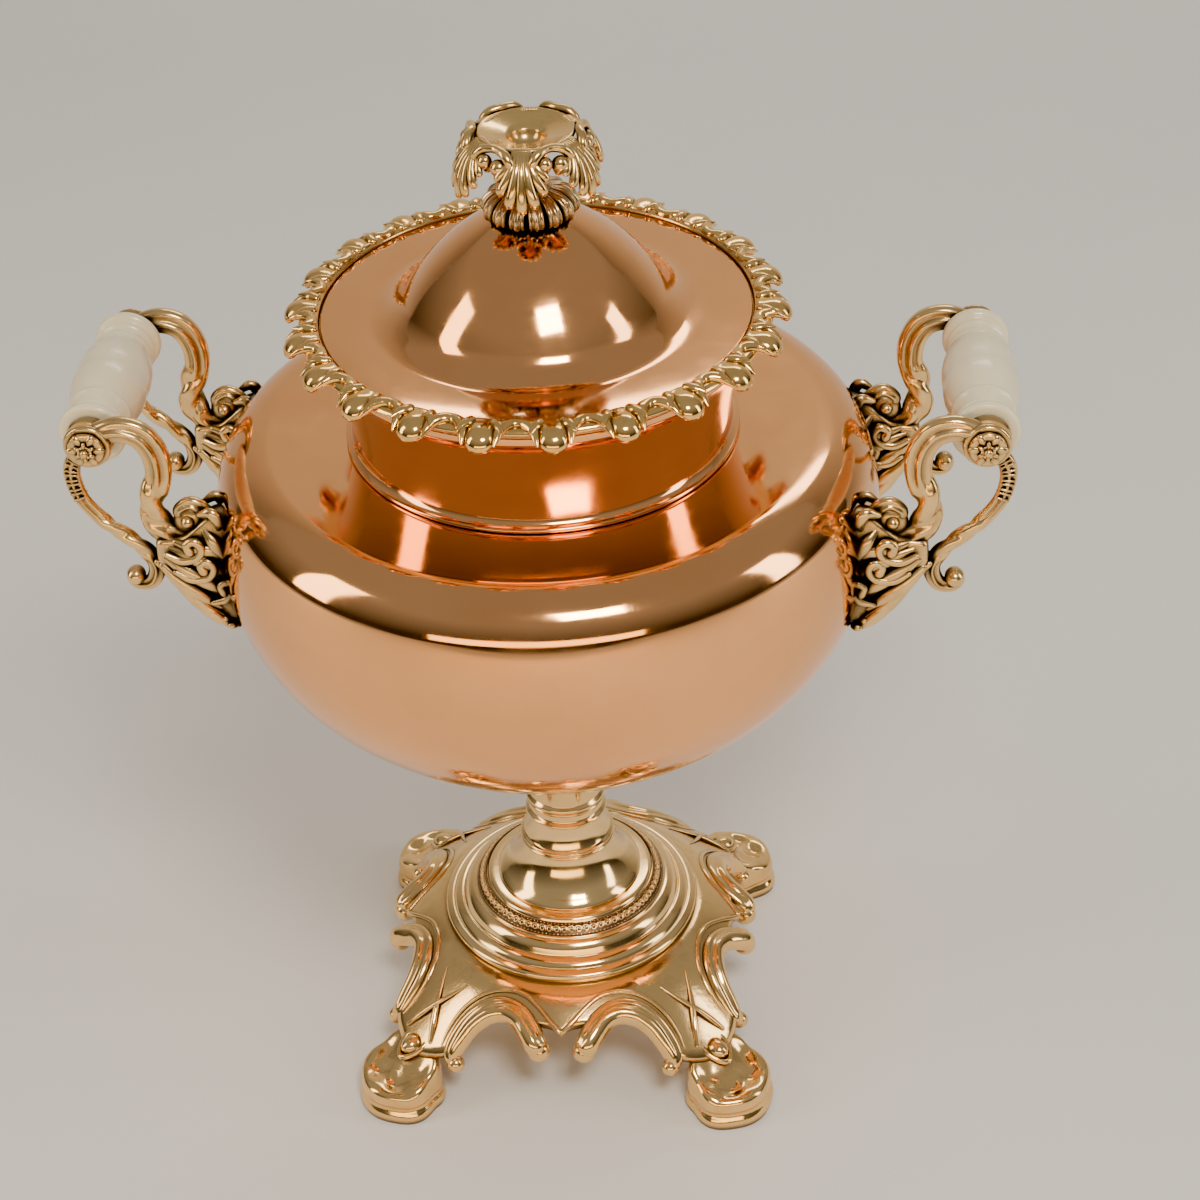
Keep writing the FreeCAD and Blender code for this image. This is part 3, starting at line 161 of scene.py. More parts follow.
def tube(points, radii, up=(0, 0, 1), flat=1.0, sides=12, count=24, section=None):
    """A round-ended rod along a smooth curve. radii go with the points; flat squeezes it along up;
    section(angle, share of the way) scales the outline for grooves and ribs."""
    radii = np.full(len(points), float(radii)) if np.isscalar(radii) else np.array(radii, float)
    rows = spline(np.column_stack([np.array(points, float), radii]), count)
    centre, size = rows[:, :3], np.maximum(rows[:, 3], 0.02)
    way = np.gradient(centre, axis=0)
    way /= np.linalg.norm(way, axis=1)[:, None]
    ups = np.tile(np.array(up, float), (len(centre), 1)) if np.ndim(up) == 1 else np.array(up, float)
    if len(ups) != len(centre):
        ups = spline(ups, count)
    lift = ups - (ups * way).sum(1)[:, None] * way
    lift /= np.maximum(np.linalg.norm(lift, axis=1), 1e-9)[:, None]
    aside = np.cross(way, lift)
    share = np.linspace(0, 1, count)
    caps = np.array([80, 55, 28]) * math.pi / 180
    c = np.vstack([centre[0] - way[0] * size[0] * math.sin(t) for t in caps] + [centre]
                  + [centre[-1] + way[-1] * size[-1] * math.sin(t) for t in caps[::-1]])
    s = np.concatenate([size[0] * np.cos(caps), size, size[-1] * np.cos(caps[::-1])])
    lift = np.vstack([lift[:1]] * 3 + [lift] + [lift[-1:]] * 3)
    aside = np.vstack([aside[:1]] * 3 + [aside] + [aside[-1:]] * 3)
    share = np.concatenate([np.zeros(3), share, np.ones(3)])
    angles = np.arange(sides) * TAU / sides
    verts = []
    for i in range(len(c)):
        scale = np.array([section(t, share[i]) for t in angles]) if section else np.ones(sides)
        verts.append(c[i] + (np.cos(angles) * s[i] * scale)[:, None] * aside[i]
                     + (np.sin(angles) * s[i] * flat * scale)[:, None] * lift[i])
    verts = np.vstack(verts)
    faces = grid_faces(len(c), sides)
    last = len(verts)
    verts = np.vstack([verts, centre[0] - way[0] * size[0], centre[-1] + way[-1] * size[-1]])
    for j in range(sides):
        k = (j + 1) % sides
        faces.append((last, k, j))
        faces.append((last + 1, len(c) * sides - sides + j, len(c) * sides - sides + k))
    return verts, faces


def ball(centre, radius, scale=(1, 1, 1), rings=9, sides=14):
    """A ball, stretched by scale along X, Y and Z."""
    verts = [(0, 0, -1)]
    for i in range(1, rings):
        t = math.pi * i / rings - math.pi / 2
        verts += [(math.cos(t) * math.cos(a), math.cos(t) * math.sin(a), math.sin(t))
                  for a in np.arange(sides) * TAU / sides]
    verts.append((0, 0, 1))
    top = len(verts) - 1
    faces = grid_faces(rings - 1, sides, start=1)
    for j in range(sides):
        k = (j + 1) % sides
        faces.append((0, 1 + k, 1 + j))
        faces.append((top, top - sides + j, top - sides + k))
    return np.array(verts) * np.array(scale) * radius + np.array(centre), faces


def moved(shape, matrix=None, offset=(0, 0, 0)):
    """The shape turned by the matrix and then shifted."""
    verts, faces = shape
    if matrix is not None:
        verts = verts @ np.array(matrix, float).T
    return verts + np.array(offset, float), faces


def turn_z(degrees):
    c, s = math.cos(math.radians(degrees)), math.sin(math.radians(degrees))
    return [[c, -s, 0], [s, c, 0], [0, 0, 1]]


def flipped(shape, axis):
    """The mirror image, with its faces still turned outwards."""
    verts, faces = shape
    scale = np.ones(3)
    scale[axis] = -1
    return verts * scale, [tuple(reversed(f)) for f in faces]


def around(shapes, count, first=0.0):
    """Copies of the shapes at even steps about Z, the first one at that many degrees."""
    return [moved(shape, turn_z(first + 360 / count * i)) for i in range(count) for shape in shapes]


def piece(name, shapes, material, body, replaces=()):
    """One mesh object from the shapes; it rides its body and stands for the CAD nodes named."""
    if isinstance(shapes, tuple):
        shapes = [shapes]
    verts, faces, start = [], [], 0
    for v, f in shapes:
        verts.append(v)
        faces += [tuple(i + start for i in face) for face in f]
        start += len(v)
    mesh = bpy.data.meshes.new(name)
    mesh.from_pydata((np.vstack(verts) * MM).tolist(), [], faces)
    work = bmesh.new()
    work.from_mesh(mesh)
    bmesh.ops.recalc_face_normals(work, faces=work.faces)
    work.to_mesh(mesh)
    work.free()
    mesh.materials.append(material)
    mesh.shade_smooth()
    obj = bpy.data.objects.new(name, mesh)
    bpy.context.scene.collection.objects.link(obj)
    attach(obj, body)
    if replaces:
        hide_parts(*([replaces] if isinstance(replaces, str) else replaces))
    return obj


# Materials
def new_material(name, base, metallic, roughness, **inputs):
    material = bpy.data.materials.new(name)
    material.use_nodes = True
    shader = material.node_tree.nodes["Principled BSDF"]
    shader.inputs["Base Color"].default_value = (*base, 1)
    shader.inputs["Metallic"].default_value = metallic
    shader.inputs["Roughness"].default_value = roughness
    for key, value in inputs.items():
        shader.inputs[key.replace("_", " ")].default_value = value
    return material, material.node_tree, shader


def node(tree, kind, **values):
    made = tree.nodes.new(kind)
    for key, value in values.items():
        if key in made.inputs.keys():
            made.inputs[key].default_value = value
        else:
            setattr(made, key, value)
    return made


def noise(tree, scale, detail=2.0, rough=0.5, stretch=None):
    place = tree.nodes.new("ShaderNodeTexCoord")
    out = node(tree, "ShaderNodeTexNoise", Scale=scale, Detail=detail, Roughness=rough)
    if stretch:
        mapping = node(tree, "ShaderNodeMapping", Scale=stretch)
        tree.links.new(place.outputs["Object"], mapping.inputs["Vector"])
        tree.links.new(mapping.outputs["Vector"], out.inputs["Vector"])
    else:
        tree.links.new(place.outputs["Object"], out.inputs["Vector"])
    return out.outputs["Fac"]


def ramp(tree, source, low, high, low_at=0.3, high_at=0.7):
    made = tree.nodes.new("ShaderNodeMapRange")
    made.inputs["From Min"].default_value = low_at
    made.inputs["From Max"].default_value = high_at
    made.inputs["To Min"].default_value = low
    made.inputs["To Max"].default_value = high
    tree.links.new(source, made.inputs["Value"])
    return made.outputs["Result"]


def blend_colours(tree, factor, first, second):
    made = tree.nodes.new("ShaderNodeMix")
    made.data_type = "RGBA"
    for socket, value in ((6, first), (7, second)):
        if isinstance(value, tuple):
            made.inputs[socket].default_value = (*value, 1)
        else:
            tree.links.new(value, made.inputs[socket])
    tree.links.new(factor, made.inputs[0])
    return made.outputs[2]


def bumped(tree, shader, height, strength, distance):
    """Gives the shader a bump of that height and lets its normal follow."""
    made = node(tree, "ShaderNodeBump", Strength=strength, Distance=distance)
    tree.links.new(height, made.inputs["Height"])
    tree.links.new(made.outputs["Normal"], shader.inputs["Normal"])


def polished(name, base, tint, roughness, ripple):
    """Hand-polished sheet metal: slight tarnish clouds, uneven shine and the soft ripple of beaten work."""
    material, tree, shader = new_material(name, base, 1.0, roughness)
    clouds = noise(tree, 14, 4, 0.6)
    tree.links.new(blend_colours(tree, ramp(tree, clouds, 0, 0.55, 0.42, 0.75), base, tint),
                   shader.inputs["Base Color"])
    smear = noise(tree, 45, 5, 0.65, (1, 1, 3))
    tree.links.new(ramp(tree, smear, roughness * 0.6, roughness * 1.9), shader.inputs["Roughness"])
    bumped(tree, shader, noise(tree, 9, 2, 0.45), ripple, 0.004)
    return material


def brass_with_painted_shade(name, base, dark, roughness, reach, bright_at=0.86, dark_at=0.35, depth=1.0, grain=220):
    """Cast brass with painted shade: its colour darkens where ambient occlusion finds hollows and nearby
    parts, and small tarnish spots darken it at random.
    """
    material, tree, shader = new_material(name, base, 1.0, roughness)
    hollow = node(tree, "ShaderNodeAmbientOcclusion", Distance=reach, samples=8)
    # Painted shade: the colour goes towards the dark one wherever ambient occlusion finds a hollow or a
    # nearby part.
    painted_hollow_shade = ramp(tree, hollow.outputs["AO"], depth, 0.0, dark_at, bright_at)
    clouds = noise(tree, 90, 3, 0.6)
    spots = ramp(tree, clouds, 0.0, 0.22, 0.5, 0.75)
    # The darker of the painted shade and the tarnish spots sets the colour and the roughness.
    shade_and_tarnish_spots = node(tree, "ShaderNodeMath", operation="MAXIMUM")
    tree.links.new(painted_hollow_shade, shade_and_tarnish_spots.inputs[0])
    tree.links.new(spots, shade_and_tarnish_spots.inputs[1])
    tree.links.new(blend_colours(tree, shade_and_tarnish_spots.outputs[0], base, dark), shader.inputs["Base Color"])
    tree.links.new(ramp(tree, shade_and_tarnish_spots.outputs[0], roughness, roughness + 0.3, 0, 1), shader.inputs["Roughness"])
    bumped(tree, shader, noise(tree, grain, 3, 0.6), 0.12, 0.0006)
    return material


copper = polished("copper", (0.96, 0.47, 0.19), (0.88, 0.38, 0.13), 0.07, 0.12)
# The brass finishes below carry painted shade: their second, near-black colour fills hollows and places near
# other parts, and also colours the tarnish spots.
gilt = brass_with_painted_shade("gilt_brass", (0.98, 0.62, 0.22), (0.16, 0.07, 0.02), 0.11, 0.004, 0.90, 0.45, 0.85)
bronze = polished("bronze_gold", (0.95, 0.64, 0.28), (0.82, 0.48, 0.17), 0.09, 0.06)
cast_gold = brass_with_painted_shade("cast_gold", (0.95, 0.62, 0.25), (0.10, 0.05, 0.02), 0.12, 0.006, 0.92, 0.50, 0.9)
old_brass = brass_with_painted_shade("old_brass", (0.92, 0.62, 0.27), (0.022, 0.013, 0.008), 0.19, 0.008, 0.97, 0.60)
dark_brass = brass_with_painted_shade("dark_brass", (0.74, 0.50, 0.25), (0.012, 0.008, 0.005), 0.19, 0.009, 0.97, 0.62)
finial_brass = brass_with_painted_shade("finial_brass", (0.96, 0.64, 0.25), (0.035, 0.018, 0.009), 0.16, 0.006, 0.93, 0.52)
# A near-black finish for the ground of the scroll band: painted shade between the scrolls.
belt_painted_shade = brass_with_painted_shade("belt_painted_shade", (0.10, 0.058, 0.028), (0.02, 0.012, 0.008), 0.34, 0.002)

cream, tree, shader = new_material("cream", (0.88, 0.80, 0.57), 0.0, 0.25, Coat_Weight=0.4,
                                   Coat_Roughness=0.08)
tree.links.new(blend_colours(tree, ramp(tree, noise(tree, 38, 3, 0.5, (2, 0.5, 2)), 0, 0.5),
                             (0.88, 0.80, 0.58), (0.80, 0.68, 0.42)), shader.inputs["Base Color"])
shader.inputs["Subsurface Weight"].default_value = 0.15
shader.inputs["Subsurface Radius"].default_value = (0.004, 0.003, 0.0018)

iron, tree, shader = new_material("iron", (0.06, 0.058, 0.056), 0.8, 0.55)
bumped(tree, shader, noise(tree, 300, 4, 0.7), 0.5, 0.0006)
tinned = polished("tinned", (0.78, 0.77, 0.74), (0.60, 0.58, 0.55), 0.30, 0.05)

# Bowl and neck
BOWL = [(38, SOCKET_TOP), (116.55, 220.95, 260, 1), (143.5, 286, 92, 1), (139.98, 312.32, 100, 1),
        (116.82, 330, 24, 1), (SHOULDER_HOLE, 327.5)]
INSIDE = [(74, 325.6), (SHOULDER_HOLE, 326), (116.8, 328.5), (138.5, 311.9, 22.5, -1), (142, 286, 98.5, -1),
          (115.5, 222.0, 90.5, -1), (38, 168.6, 258.5, -1), (BORE, 168.6)]
bowl_outline = route([(BORE, SOCKET_TOP)] + BOWL + [(74, 327.1)], 1.6) + route(INSIDE, 4)
piece("bowl", lathe(eased(bowl_outline, 1.2, sharp=30), 256), copper, "urn", "vessel_body")

NECK = [(SHOULDER_HOLE, 327.6), (83.4, 328.1), (83.2, 329.6, 1.1, 1), (80.0, 332.4, 5.0, -1),
        (88.2, 371.5, 118, -1), (89.6, 373.4), (89.4, 376.4), (86.4, 376.4), (86.2, 371.5),
        (78.4, 333, 120, 1), (78.4, 327.6)]
piece("neck", lathe(eased(route(NECK, 2), 0.6), 224), copper, "urn", "neck_collar")

# Pierced gallery: a stepped ring, arches with horned ends and drooping tongues between them
TONGUES = 22
PITCH = 360 / TONGUES
RIM_RADIUS, RIM_HEIGHT = 94.2, 385.2
SKIRT_START = math.radians(8)
SKIRT_BEND = math.radians(62) / 14
SKIRT_RADIUS = 101.0


def over_rim(along, aside, lift=0.0):
    """A point of the gallery's skirt: along it outwards and down, aside along the rim, lifted off it."""
    angle = SKIRT_START + SKIRT_BEND * along
    r = RIM_RADIUS + (math.sin(angle) - math.sin(SKIRT_START)) / SKIRT_BEND + lift * math.sin(angle)
    z = RIM_HEIGHT + (math.cos(angle) - math.cos(SKIRT_START)) / SKIRT_BEND + lift * math.cos(angle)
    if along < 0:
        r = RIM_RADIUS + along * math.cos(SKIRT_START)
        z = RIM_HEIGHT - along * math.sin(SKIRT_START) + lift
    turn = aside / SKIRT_RADIUS
    return (r * math.cos(turn), r * math.sin(turn), z)


RING = [(85.0, 376.6), (89.2, 376.6), (90.4, 378.2), (94.5, 380.2), (97.6, 382.8), (98.2, 384.2, 1.0, 1),
        (95.6, 385.6, 2.6, 1), (93.6, 386.1), (91.2, 386.1, 1.4, 1), (90.2, 385.2), (90.0, 383.0),
        (85.0, 383.0)]
rim_parts = [lathe(eased(route(RING, 12), 0.4), 264)]
arch_path = [(-8.2, 9.2), (-7.6, 6.6), (-6.9, 3.6), (-5.1, 0.7), (-2.6, -1.0), (0, -1.5)]
arch_path += [(-x, y) for x, y in arch_path[-2::-1]]
arch_lift = [2.2, 1.5, 1.1, 0.9, 0.7, 0.6, 0.7, 0.9, 1.1, 1.5, 2.2]
arch_size = [0.6, 1.5, 2.2, 2.6, 2.5, 2.4, 2.5, 2.6, 2.2, 1.5, 0.6]
arch_points = [over_rim(y, x, h) for (x, y), h in zip(arch_path, arch_lift)]
arch = tube(arch_points, arch_size, flat=0.85, sides=12, count=36)


def tongue_shape():
    """A drooping tongue: it swells from the ring and ends round."""
    rows, columns = 16, 20
    first, length = -3.0, 15.6
    thin, under = 0.05, 0.45
    verts = []
    for i in range(rows + 1):
        t = i / rows
        along = first + length * t
        taper = math.sqrt(max(0.0, 1 - (max(0.0, t - 0.62) / 0.38) ** 2))
        half = (5.0 + 1.0 * math.sin(math.pi * min(1, t / 0.62) / 2)) * taper
        high = (1.2 + 2.8 * math.sin(math.pi * min(1.0, t / 0.66) / 2) ** 2) * taper
        for j in range(columns):
            a = TAU * j / columns
            side_share = 1.0 if math.sin(a) > 0 else under
            lift = 0.2 + max(high, thin) * math.sin(a) * side_share
            verts.append(over_rim(along, max(half, thin) * math.cos(a), lift))
    count = len(verts)
    verts += [over_rim(-3.2, 0, 0.2), over_rim(12.65, 0, 0.2)]
    faces = grid_faces(rows + 1, columns)
    for j in range(columns):
        k = (j + 1) % columns
        faces += [(count, k, j), (count + 1, count - columns + j, count - columns + k)]
    return np.array(verts), faces


rim_parts += around([tongue_shape()], TONGUES)
rim_parts += around([arch], TONGUES, PITCH / 2)
horn_path = [(-1.5, -5.4, 0.9), (0.8, -6.6, 1.4), (3.2, -8.0, 2.0), (5.2, -8.6, 3.0)]
horn = tube([over_rim(*spot) for spot in horn_path], [2.2, 2.4, 1.7, 0.5], flat=0.85, sides=10, count=14)
rim_parts += around([horn, flipped(horn, 1)], TONGUES)
piece("gallery", rim_parts, gilt, "urn", "gallery_rim")

# Lid
STUD_HOLE, LID_INSIDE = 2.3, 426.0
LID = [(STUD_HOLE, LID_INSIDE), (STUD_HOLE, LID_TOP), (17, LID_TOP), (54, 393.6, 97.6, -1),
       (70.4, 384.6, 19.4, 1), (89.2, 384.6), (89.4, 383.8), (89.2, 383.0), (70.2, 383.0),
       (53, 392.0, 21, -1), (17, LID_INSIDE, 96, 1)]
lid_outline = route(LID, 1.5)
piece("lid_dome", lathe(eased(lid_outline, 0.8, sharp=24), 256), copper, "lid", "lid")

# Petal collar under the finial
PETALS = 14
CLEFT_DEPTH, RIB_DEPTH, CLEFT_LIFT = 4.6, 1.3, 1.6
UPPER_ROWS = 14


def petal_wave(angles, radius, height, row):
    """Ribbed petals: deep clefts between them and shallow ones within, fading towards the top."""
    share = min(1.0, max(0.0, (radius[0] - 8.5) / 9.0))
    cleft = np.abs(np.cos(angles * PETALS / 2)) ** 0.42
    rib = 0.5 + 0.5 * np.cos(angles * PETALS * 3)
    shrink = share * (CLEFT_DEPTH * (1 - cleft) + RIB_DEPTH * (1 - rib) * cleft)
    lift = share * (1 - cleft) * CLEFT_LIFT if row < UPPER_ROWS else 0
    return radius - shrink, height + lift


COLLAR = [(2.4, 441.5), (7.0, 441.5), (8.2, 441.0), (9.0, 439.8, 1.6, -1), (13.5, 438.9),
          (17.5, 437.0, 9, -1), (20.2, 433.0, 7, -1), (19.6, 429.6, 4.5, -1), (17.0, 428.4, 3, -1),
          (12.0, LID_TOP), (2.4, LID_TOP)]
piece("petal_collar", lathe(eased(route(COLLAR, 7), 0.5), PETALS * 24, petal_wave), dark_brass, "lid",
      "finial_collar")

# Finial: a dished cup whose rim breaks into scrolls and drooping leaves
DISH = [(0.6, 456.4), (3.4, 456.9), (7.0, 461.4, 6.5, 1), (9.6, 463.1, 6, -1), (16.4, 464.4),
        (19.0, 465.3, 12, -1), (20.0, 464.3, 1.2, -1), (19.0, 463.0, 1.4, -1), (15.5, 460.5),
        (9.5, 455.5, 14, 1), (6.2, 448.0, 14, 1), (6.8, 443.0), (8.4, 440.6, 4, 1), (STUD_HOLE, 440.6)]
LEAVES = 6
LEAF_ROOT, LEAF_TOP = 18.0, 464.6
finial_parts = [lathe(eased(route(DISH, 6), 0.5), 128)]


def out_at(degrees, radius, height, aside=0.0):
    """The point at that radius and height, turned about Z, and shifted sideways there."""
    t = math.radians(degrees)
    return (radius * math.cos(t) - aside * math.sin(t), radius * math.sin(t) + aside * math.cos(t), height)


def finger(spread, reach, drop, start_aside, size):
    """One rounded lobe of a palmette: it leaves the rim in a bundle, droops and turns aside to its tip."""
    points, radii = [], []
    for t in (0, 0.25, 0.5, 0.75, 0.92, 1.0):
        r = LEAF_ROOT + (reach - LEAF_ROOT) * math.sin(t * math.pi / 2)
        z = LEAF_TOP - drop * t ** 1.7
        aside = start_aside + (spread - start_aside) * t ** 2.0
        points.append(out_at(0, r, z, aside))
        radii.append(size * (0.46 + 0.62 * t ** 1.5))
    radii[-1] *= 0.85
    return tube(points, radii, up=(0.75, 0, 0.66), flat=0.72, sides=12, count=22)


leaf_parts = [finger(0, 30.6, 20.0, 0, 2.2)]
for side in (-1, 1):
    leaf_parts.append(finger(side * 4.9, 29.8, 17.6, side * 1.1, 2.25))
    leaf_parts.append(finger(side * 8.4, 27.6, 13.0, side * 2.1, 2.2))
    leaf_parts.append(finger(side * 9.4, 25.2, 8.4, side * 3.0, 1.9))
web_path = [(17, 462.0), (23.0, 459.6), (27.0, 453.4), (28.4, 448.5)]
leaf_parts.append(tube([out_at(0, r, z) for r, z in web_path], [2.6, 4.8, 7.2, 3.0], up=(0.8, 0, 0.6),
                       flat=0.18, sides=12, count=16))
scroll_parts = []
rim_loop = [(-5.2, 21.4, 457.2), (-7.4, 22.4, 458.6), (-8.0, 23.0, 461.6), (-5.6, 22.6, 464.3),
            (-2.6, 21.8, 465.3), (0, 21.4, 465.5)]
rim_loop += [(-a, r, z) for a, r, z in rim_loop[-2::-1]]
loop_size = [1.2, 1.9, 2.1, 2.0, 1.8, 1.7, 1.8, 2.0, 2.1, 1.9, 1.2]
scroll_parts.append(tube([out_at(0, r, z, a) for a, r, z in rim_loop], loop_size, up=(1, 0, 0), sides=12,
                         count=54))
for side, size, drop in ((-1, 3.1, 0.0), (1, 3.6, 1.4)):
    scroll_parts.append(ball(out_at(0, 24.0, 460.4 - drop, side * 3.3), size, (0.9, 1, 1), 12, 18))
    hook_path = [(21.6, 457.0, 5.4), (22.6, 456.6, 3.0), (23.0, 458.6, 1.6)]
    scroll_parts.append(tube([out_at(0, r, z - drop, side * a) for r, z, a in hook_path], [1.2, 1.5, 1.2],
                             up=(1, 0, 0), sides=10, count=14))
finial_parts += around(leaf_parts, LEAVES, 180 / LEAVES) + around(scroll_parts, LEAVES)
piece("finial_leaves", finial_parts, finial_brass, "lid", "finial")

# Turned socket, stem and round foot
SOCKET = [(BORE, STEM_TOP), (17.4, STEM_TOP), (18.7, 124.8), (18.4, 126.4, 1.6, 1), (17.2, 127.6),
          (17.2, 128.6), (20.0, 150.0, 120, -1), (28.0, 160.0, 20, -1), (35.8, 163.6, 16, -1),
          (38.2, 165.2), (38.2, SOCKET_TOP), (BORE, SOCKET_TOP)]
STEM = [(BORE, FOOT_TOP), (33.7, FOOT_TOP), (34.2, 79.0), (33.0, 80.6), (24.4, 90.0, 26, -1),
        (21.2, 97.4, 30, -1), (21.0, 98.4), (22.0, 99.0), (21.9, 100.4, 0.9, 1), (21.2, 100.8),
        (21.9, 101.2), (21.6, 102.6, 0.9, 1), (20.4, 103.2), (18.0, 108.5, 34, -1), (17.0, 114.2, 40, -1),
        (17.0, 114.8), (18.6, 115.4), (18.6, 117.2, 1.1, 1), (17.4, 118.0), (16.9, 119.2), (16.9, 121.6),
        (18.2, 122.4), (18.6, 123.4), (18.2, STEM_TOP), (BORE, STEM_TOP)]
FOOT = [(BORE, PLINTH_TOP), (60.3, PLINTH_TOP), (60.6, 58.6), (59.6, 61.4, 2.2, 1), (57.6, 62.3),
        (56.6, 62.2), (56.0, 63.4), (52.6, 65.4, 9, 1), (51.6, 65.2), (51.0, 66.2), (50.4, 67.9),
        (46.8, 71.2, 8, 1), (45.8, 71.2), (45.4, 72.0), (44.2, 72.5), (40.4, 76.0), (39.5, 76.0),
        (39.1, 76.9), (37.4, 77.9, 2.2, 1), (35.6, FOOT_TOP), (BORE, FOOT_TOP)]
socket = lathe(eased(route(SOCKET, 4), 0.4, sharp=28), 160)
piece("socket", socket, bronze, "urn", "bowl_socket")
stem = lathe(eased(route(STEM, 5), 0.35, sharp=28), 192)
piece("stem", stem, bronze, "urn", "pedestal_stem")

# Running-scroll band on the sloping belt of the round foot
WAVES = 76
EDGE_BEADS = 150
BELT_RADIUS, BELT_HEIGHT = 42.3, 74.25
slope = math.atan2(76.0 - 72.5, 40.4 - 44.2)


def on_belt(degrees, across, lift):
    """A point of the belt: across it from its middle, up the slope, and lifted off it."""
    r = BELT_RADIUS + across * math.cos(slope) + lift * math.sin(-slope + math.pi)
    z = BELT_HEIGHT + across * math.sin(slope) + lift * abs(math.cos(slope))
    return out_at(degrees, r, z)


step = 360 / WAVES
curl_path = []
for t in np.linspace(0, 1, 13):
    swing = math.radians(215 - 520 * t)
    size = 1.75 * (1 - 0.70 * t)
    along = math.degrees(size * math.cos(swing) / BELT_RADIUS)
    curl_path.append(on_belt(along, size * 1.12 * math.sin(swing), 0.30))
lead = [on_belt(-0.62 * step, 1.3, 0.24), on_belt(-0.52 * step, 0.2, 0.28)]
curl = tube(lead + curl_path, [0.26] * 2 + [0.36] * 12 + [0.50], up=(0, 0, 1), sides=6, count=28)
belt = [(44.9, 72.25), (44.4, 72.75), (40.5, 76.25), (39.9, 76.3), (39.9, 75.4), (44.2, 71.6)]
# The band's ground is a near-black sheet under the scrolls: painted shade between them.
piece("band_ground", lathe(belt, 192), belt_painted_shade, "urn")
edge_beads = [ball(on_belt(0, across, 0.2), 0.36, rings=4, sides=6) for across in (2.45, -2.45)]
piece("running_scroll", around([curl], WAVES) + around(edge_beads, EDGE_BEADS), bronze, "urn")
round_foot = lathe(eased(route(FOOT, 4), 0.3, sharp=28), 224)
piece("round_foot", round_foot, bronze, "urn", "pedestal_foot")

# Plinth: a domed square whose sides are cut into two arches with rolled scrolls
FLAT_RADIUS, DOME_RADIUS, DOME_DROP = 62, 99, 27.0
PLINTH_WALL = 3.2


def dome_height(r):
    """Height of the plinth's upper face at radius r."""
    if r <= FLAT_RADIUS:
        return PLINTH_TOP
    if r <= DOME_RADIUS:
        return PLINTH_TOP - DOME_DROP * ((r - FLAT_RADIUS) / (DOME_RADIUS - FLAT_RADIUS)) ** 1.25
    return PLINTH_TOP - DOME_DROP - (r - DOME_RADIUS) * 0.95


def on_dome(x, y, lift=0.0):
    """The point over (x, y) that lies on the plinth, lifted off it."""
    return (x, y, dome_height(math.hypot(x, y)) + lift)


ARCH = [(81.0, 0.0), (78.6, 3.4), (77.4, 8.0), (76.6, 13.0), (73.6, 18.0), (70.6, 24.0), (69.4, 31.0),
        (70.6, 38.6), (74.6, 44.8), (78.6, 50.0), (80.6, 54.0), (80.4, 58.4), (79.0, 63.4), (76.6, 68.8),
        (73.6, 73.6)]
eighth = spline(ARCH, 60)
quarter_plan = np.vstack([eighth, eighth[:-1][::-1][:, ::-1]])[:-1]
plan = np.vstack([quarter_plan @ np.array(turn_z(90 * q))[:2, :2].T for q in range(4)])
spin = np.arctan2(plan[:, 1], plan[:, 0])
inner = 56 * np.column_stack([np.cos(spin), np.sin(spin)])
shares = [0, 0.12, 0.25, 0.4, 0.55, 0.7, 0.82, 0.92, 1.0]
skin_rows = []
for share in shares:
    ring = inner + (plan - inner) * share
    skin_rows.append(np.column_stack([ring, [dome_height(r) for r in np.hypot(*ring.T)]]))
edge = len(plan)
skin = np.vstack(skin_rows + [row - np.array([0, 0, PLINTH_WALL]) for row in skin_rows[::-1]])
skin_faces = grid_faces(2 * len(shares), edge)
last = (2 * len(shares) - 1) * edge
skin_faces += [(last + j, last + (j + 1) % edge, (j + 1) % edge, j) for j in range(edge)]
plinth_parts = [(skin, skin_faces)]


def fluted(angle, share):
    """A deep flute runs along the back of the rolled scroll."""
    fade = min(1.0, 7 * share, 7 * (1 - share))
    degrees = math.degrees(angle)
    return 1 - 0.30 * fade * math.exp(-((degrees - 118 + 180) % 360 - 180) ** 2 / 300)


SCROLL = [(83.6, 10.4, 37.6), (84.0, 12.0, 40.6), (79.8, 14.8, 44.0), (73.6, 19.2, 47.0),
          (69.4, 26.4, 48.2), (69.0, 34.8, 46.4), (71.8, 42.8, 41.4), (76.2, 48.8, 34.8), (79.4, 51.8, 29.0),
          (81.8, 50.8, 25.6)]
scroll_size = [4.6, 5.6, 5.8, 6.0, 6.2, 6.2, 5.8, 5.2, 4.6, 3.6]
scroll = tube(SCROLL, scroll_size, up=(0.6, 0, 0.8), flat=0.9, sides=30, count=76, section=fluted)
side_parts = [scroll, flipped(scroll, 1)]
for side in (-1, 1):
    side_parts.append(ball((84.0, side * 10.6, 36.8), 5.5, (1, 1, 1), 14, 24))
    side_parts.append(ball((82.0, side * 50.4, 25.0), 4.2, (1, 1, 1), 12, 20))
welt = [(80.6, 0.8), (76.6, 5.4), (71.4, 10.6), (65.6, 17.6), (62.4, 27.0), (62.4, 37.0), (65.8, 46.4),
        (71.6, 53.2), (77.4, 57.0)]
welt_size = [1.3, 1.4, 1.2, 1.3, 1.3, 1.3, 1.2, 1.0, 0.5]
ridge = tube([on_dome(x, y) for x, y in welt], welt_size, flat=0.8, sides=10, count=48)
side_parts += [ridge, flipped(ridge, 1)]
plinth_parts += around(side_parts, 4)

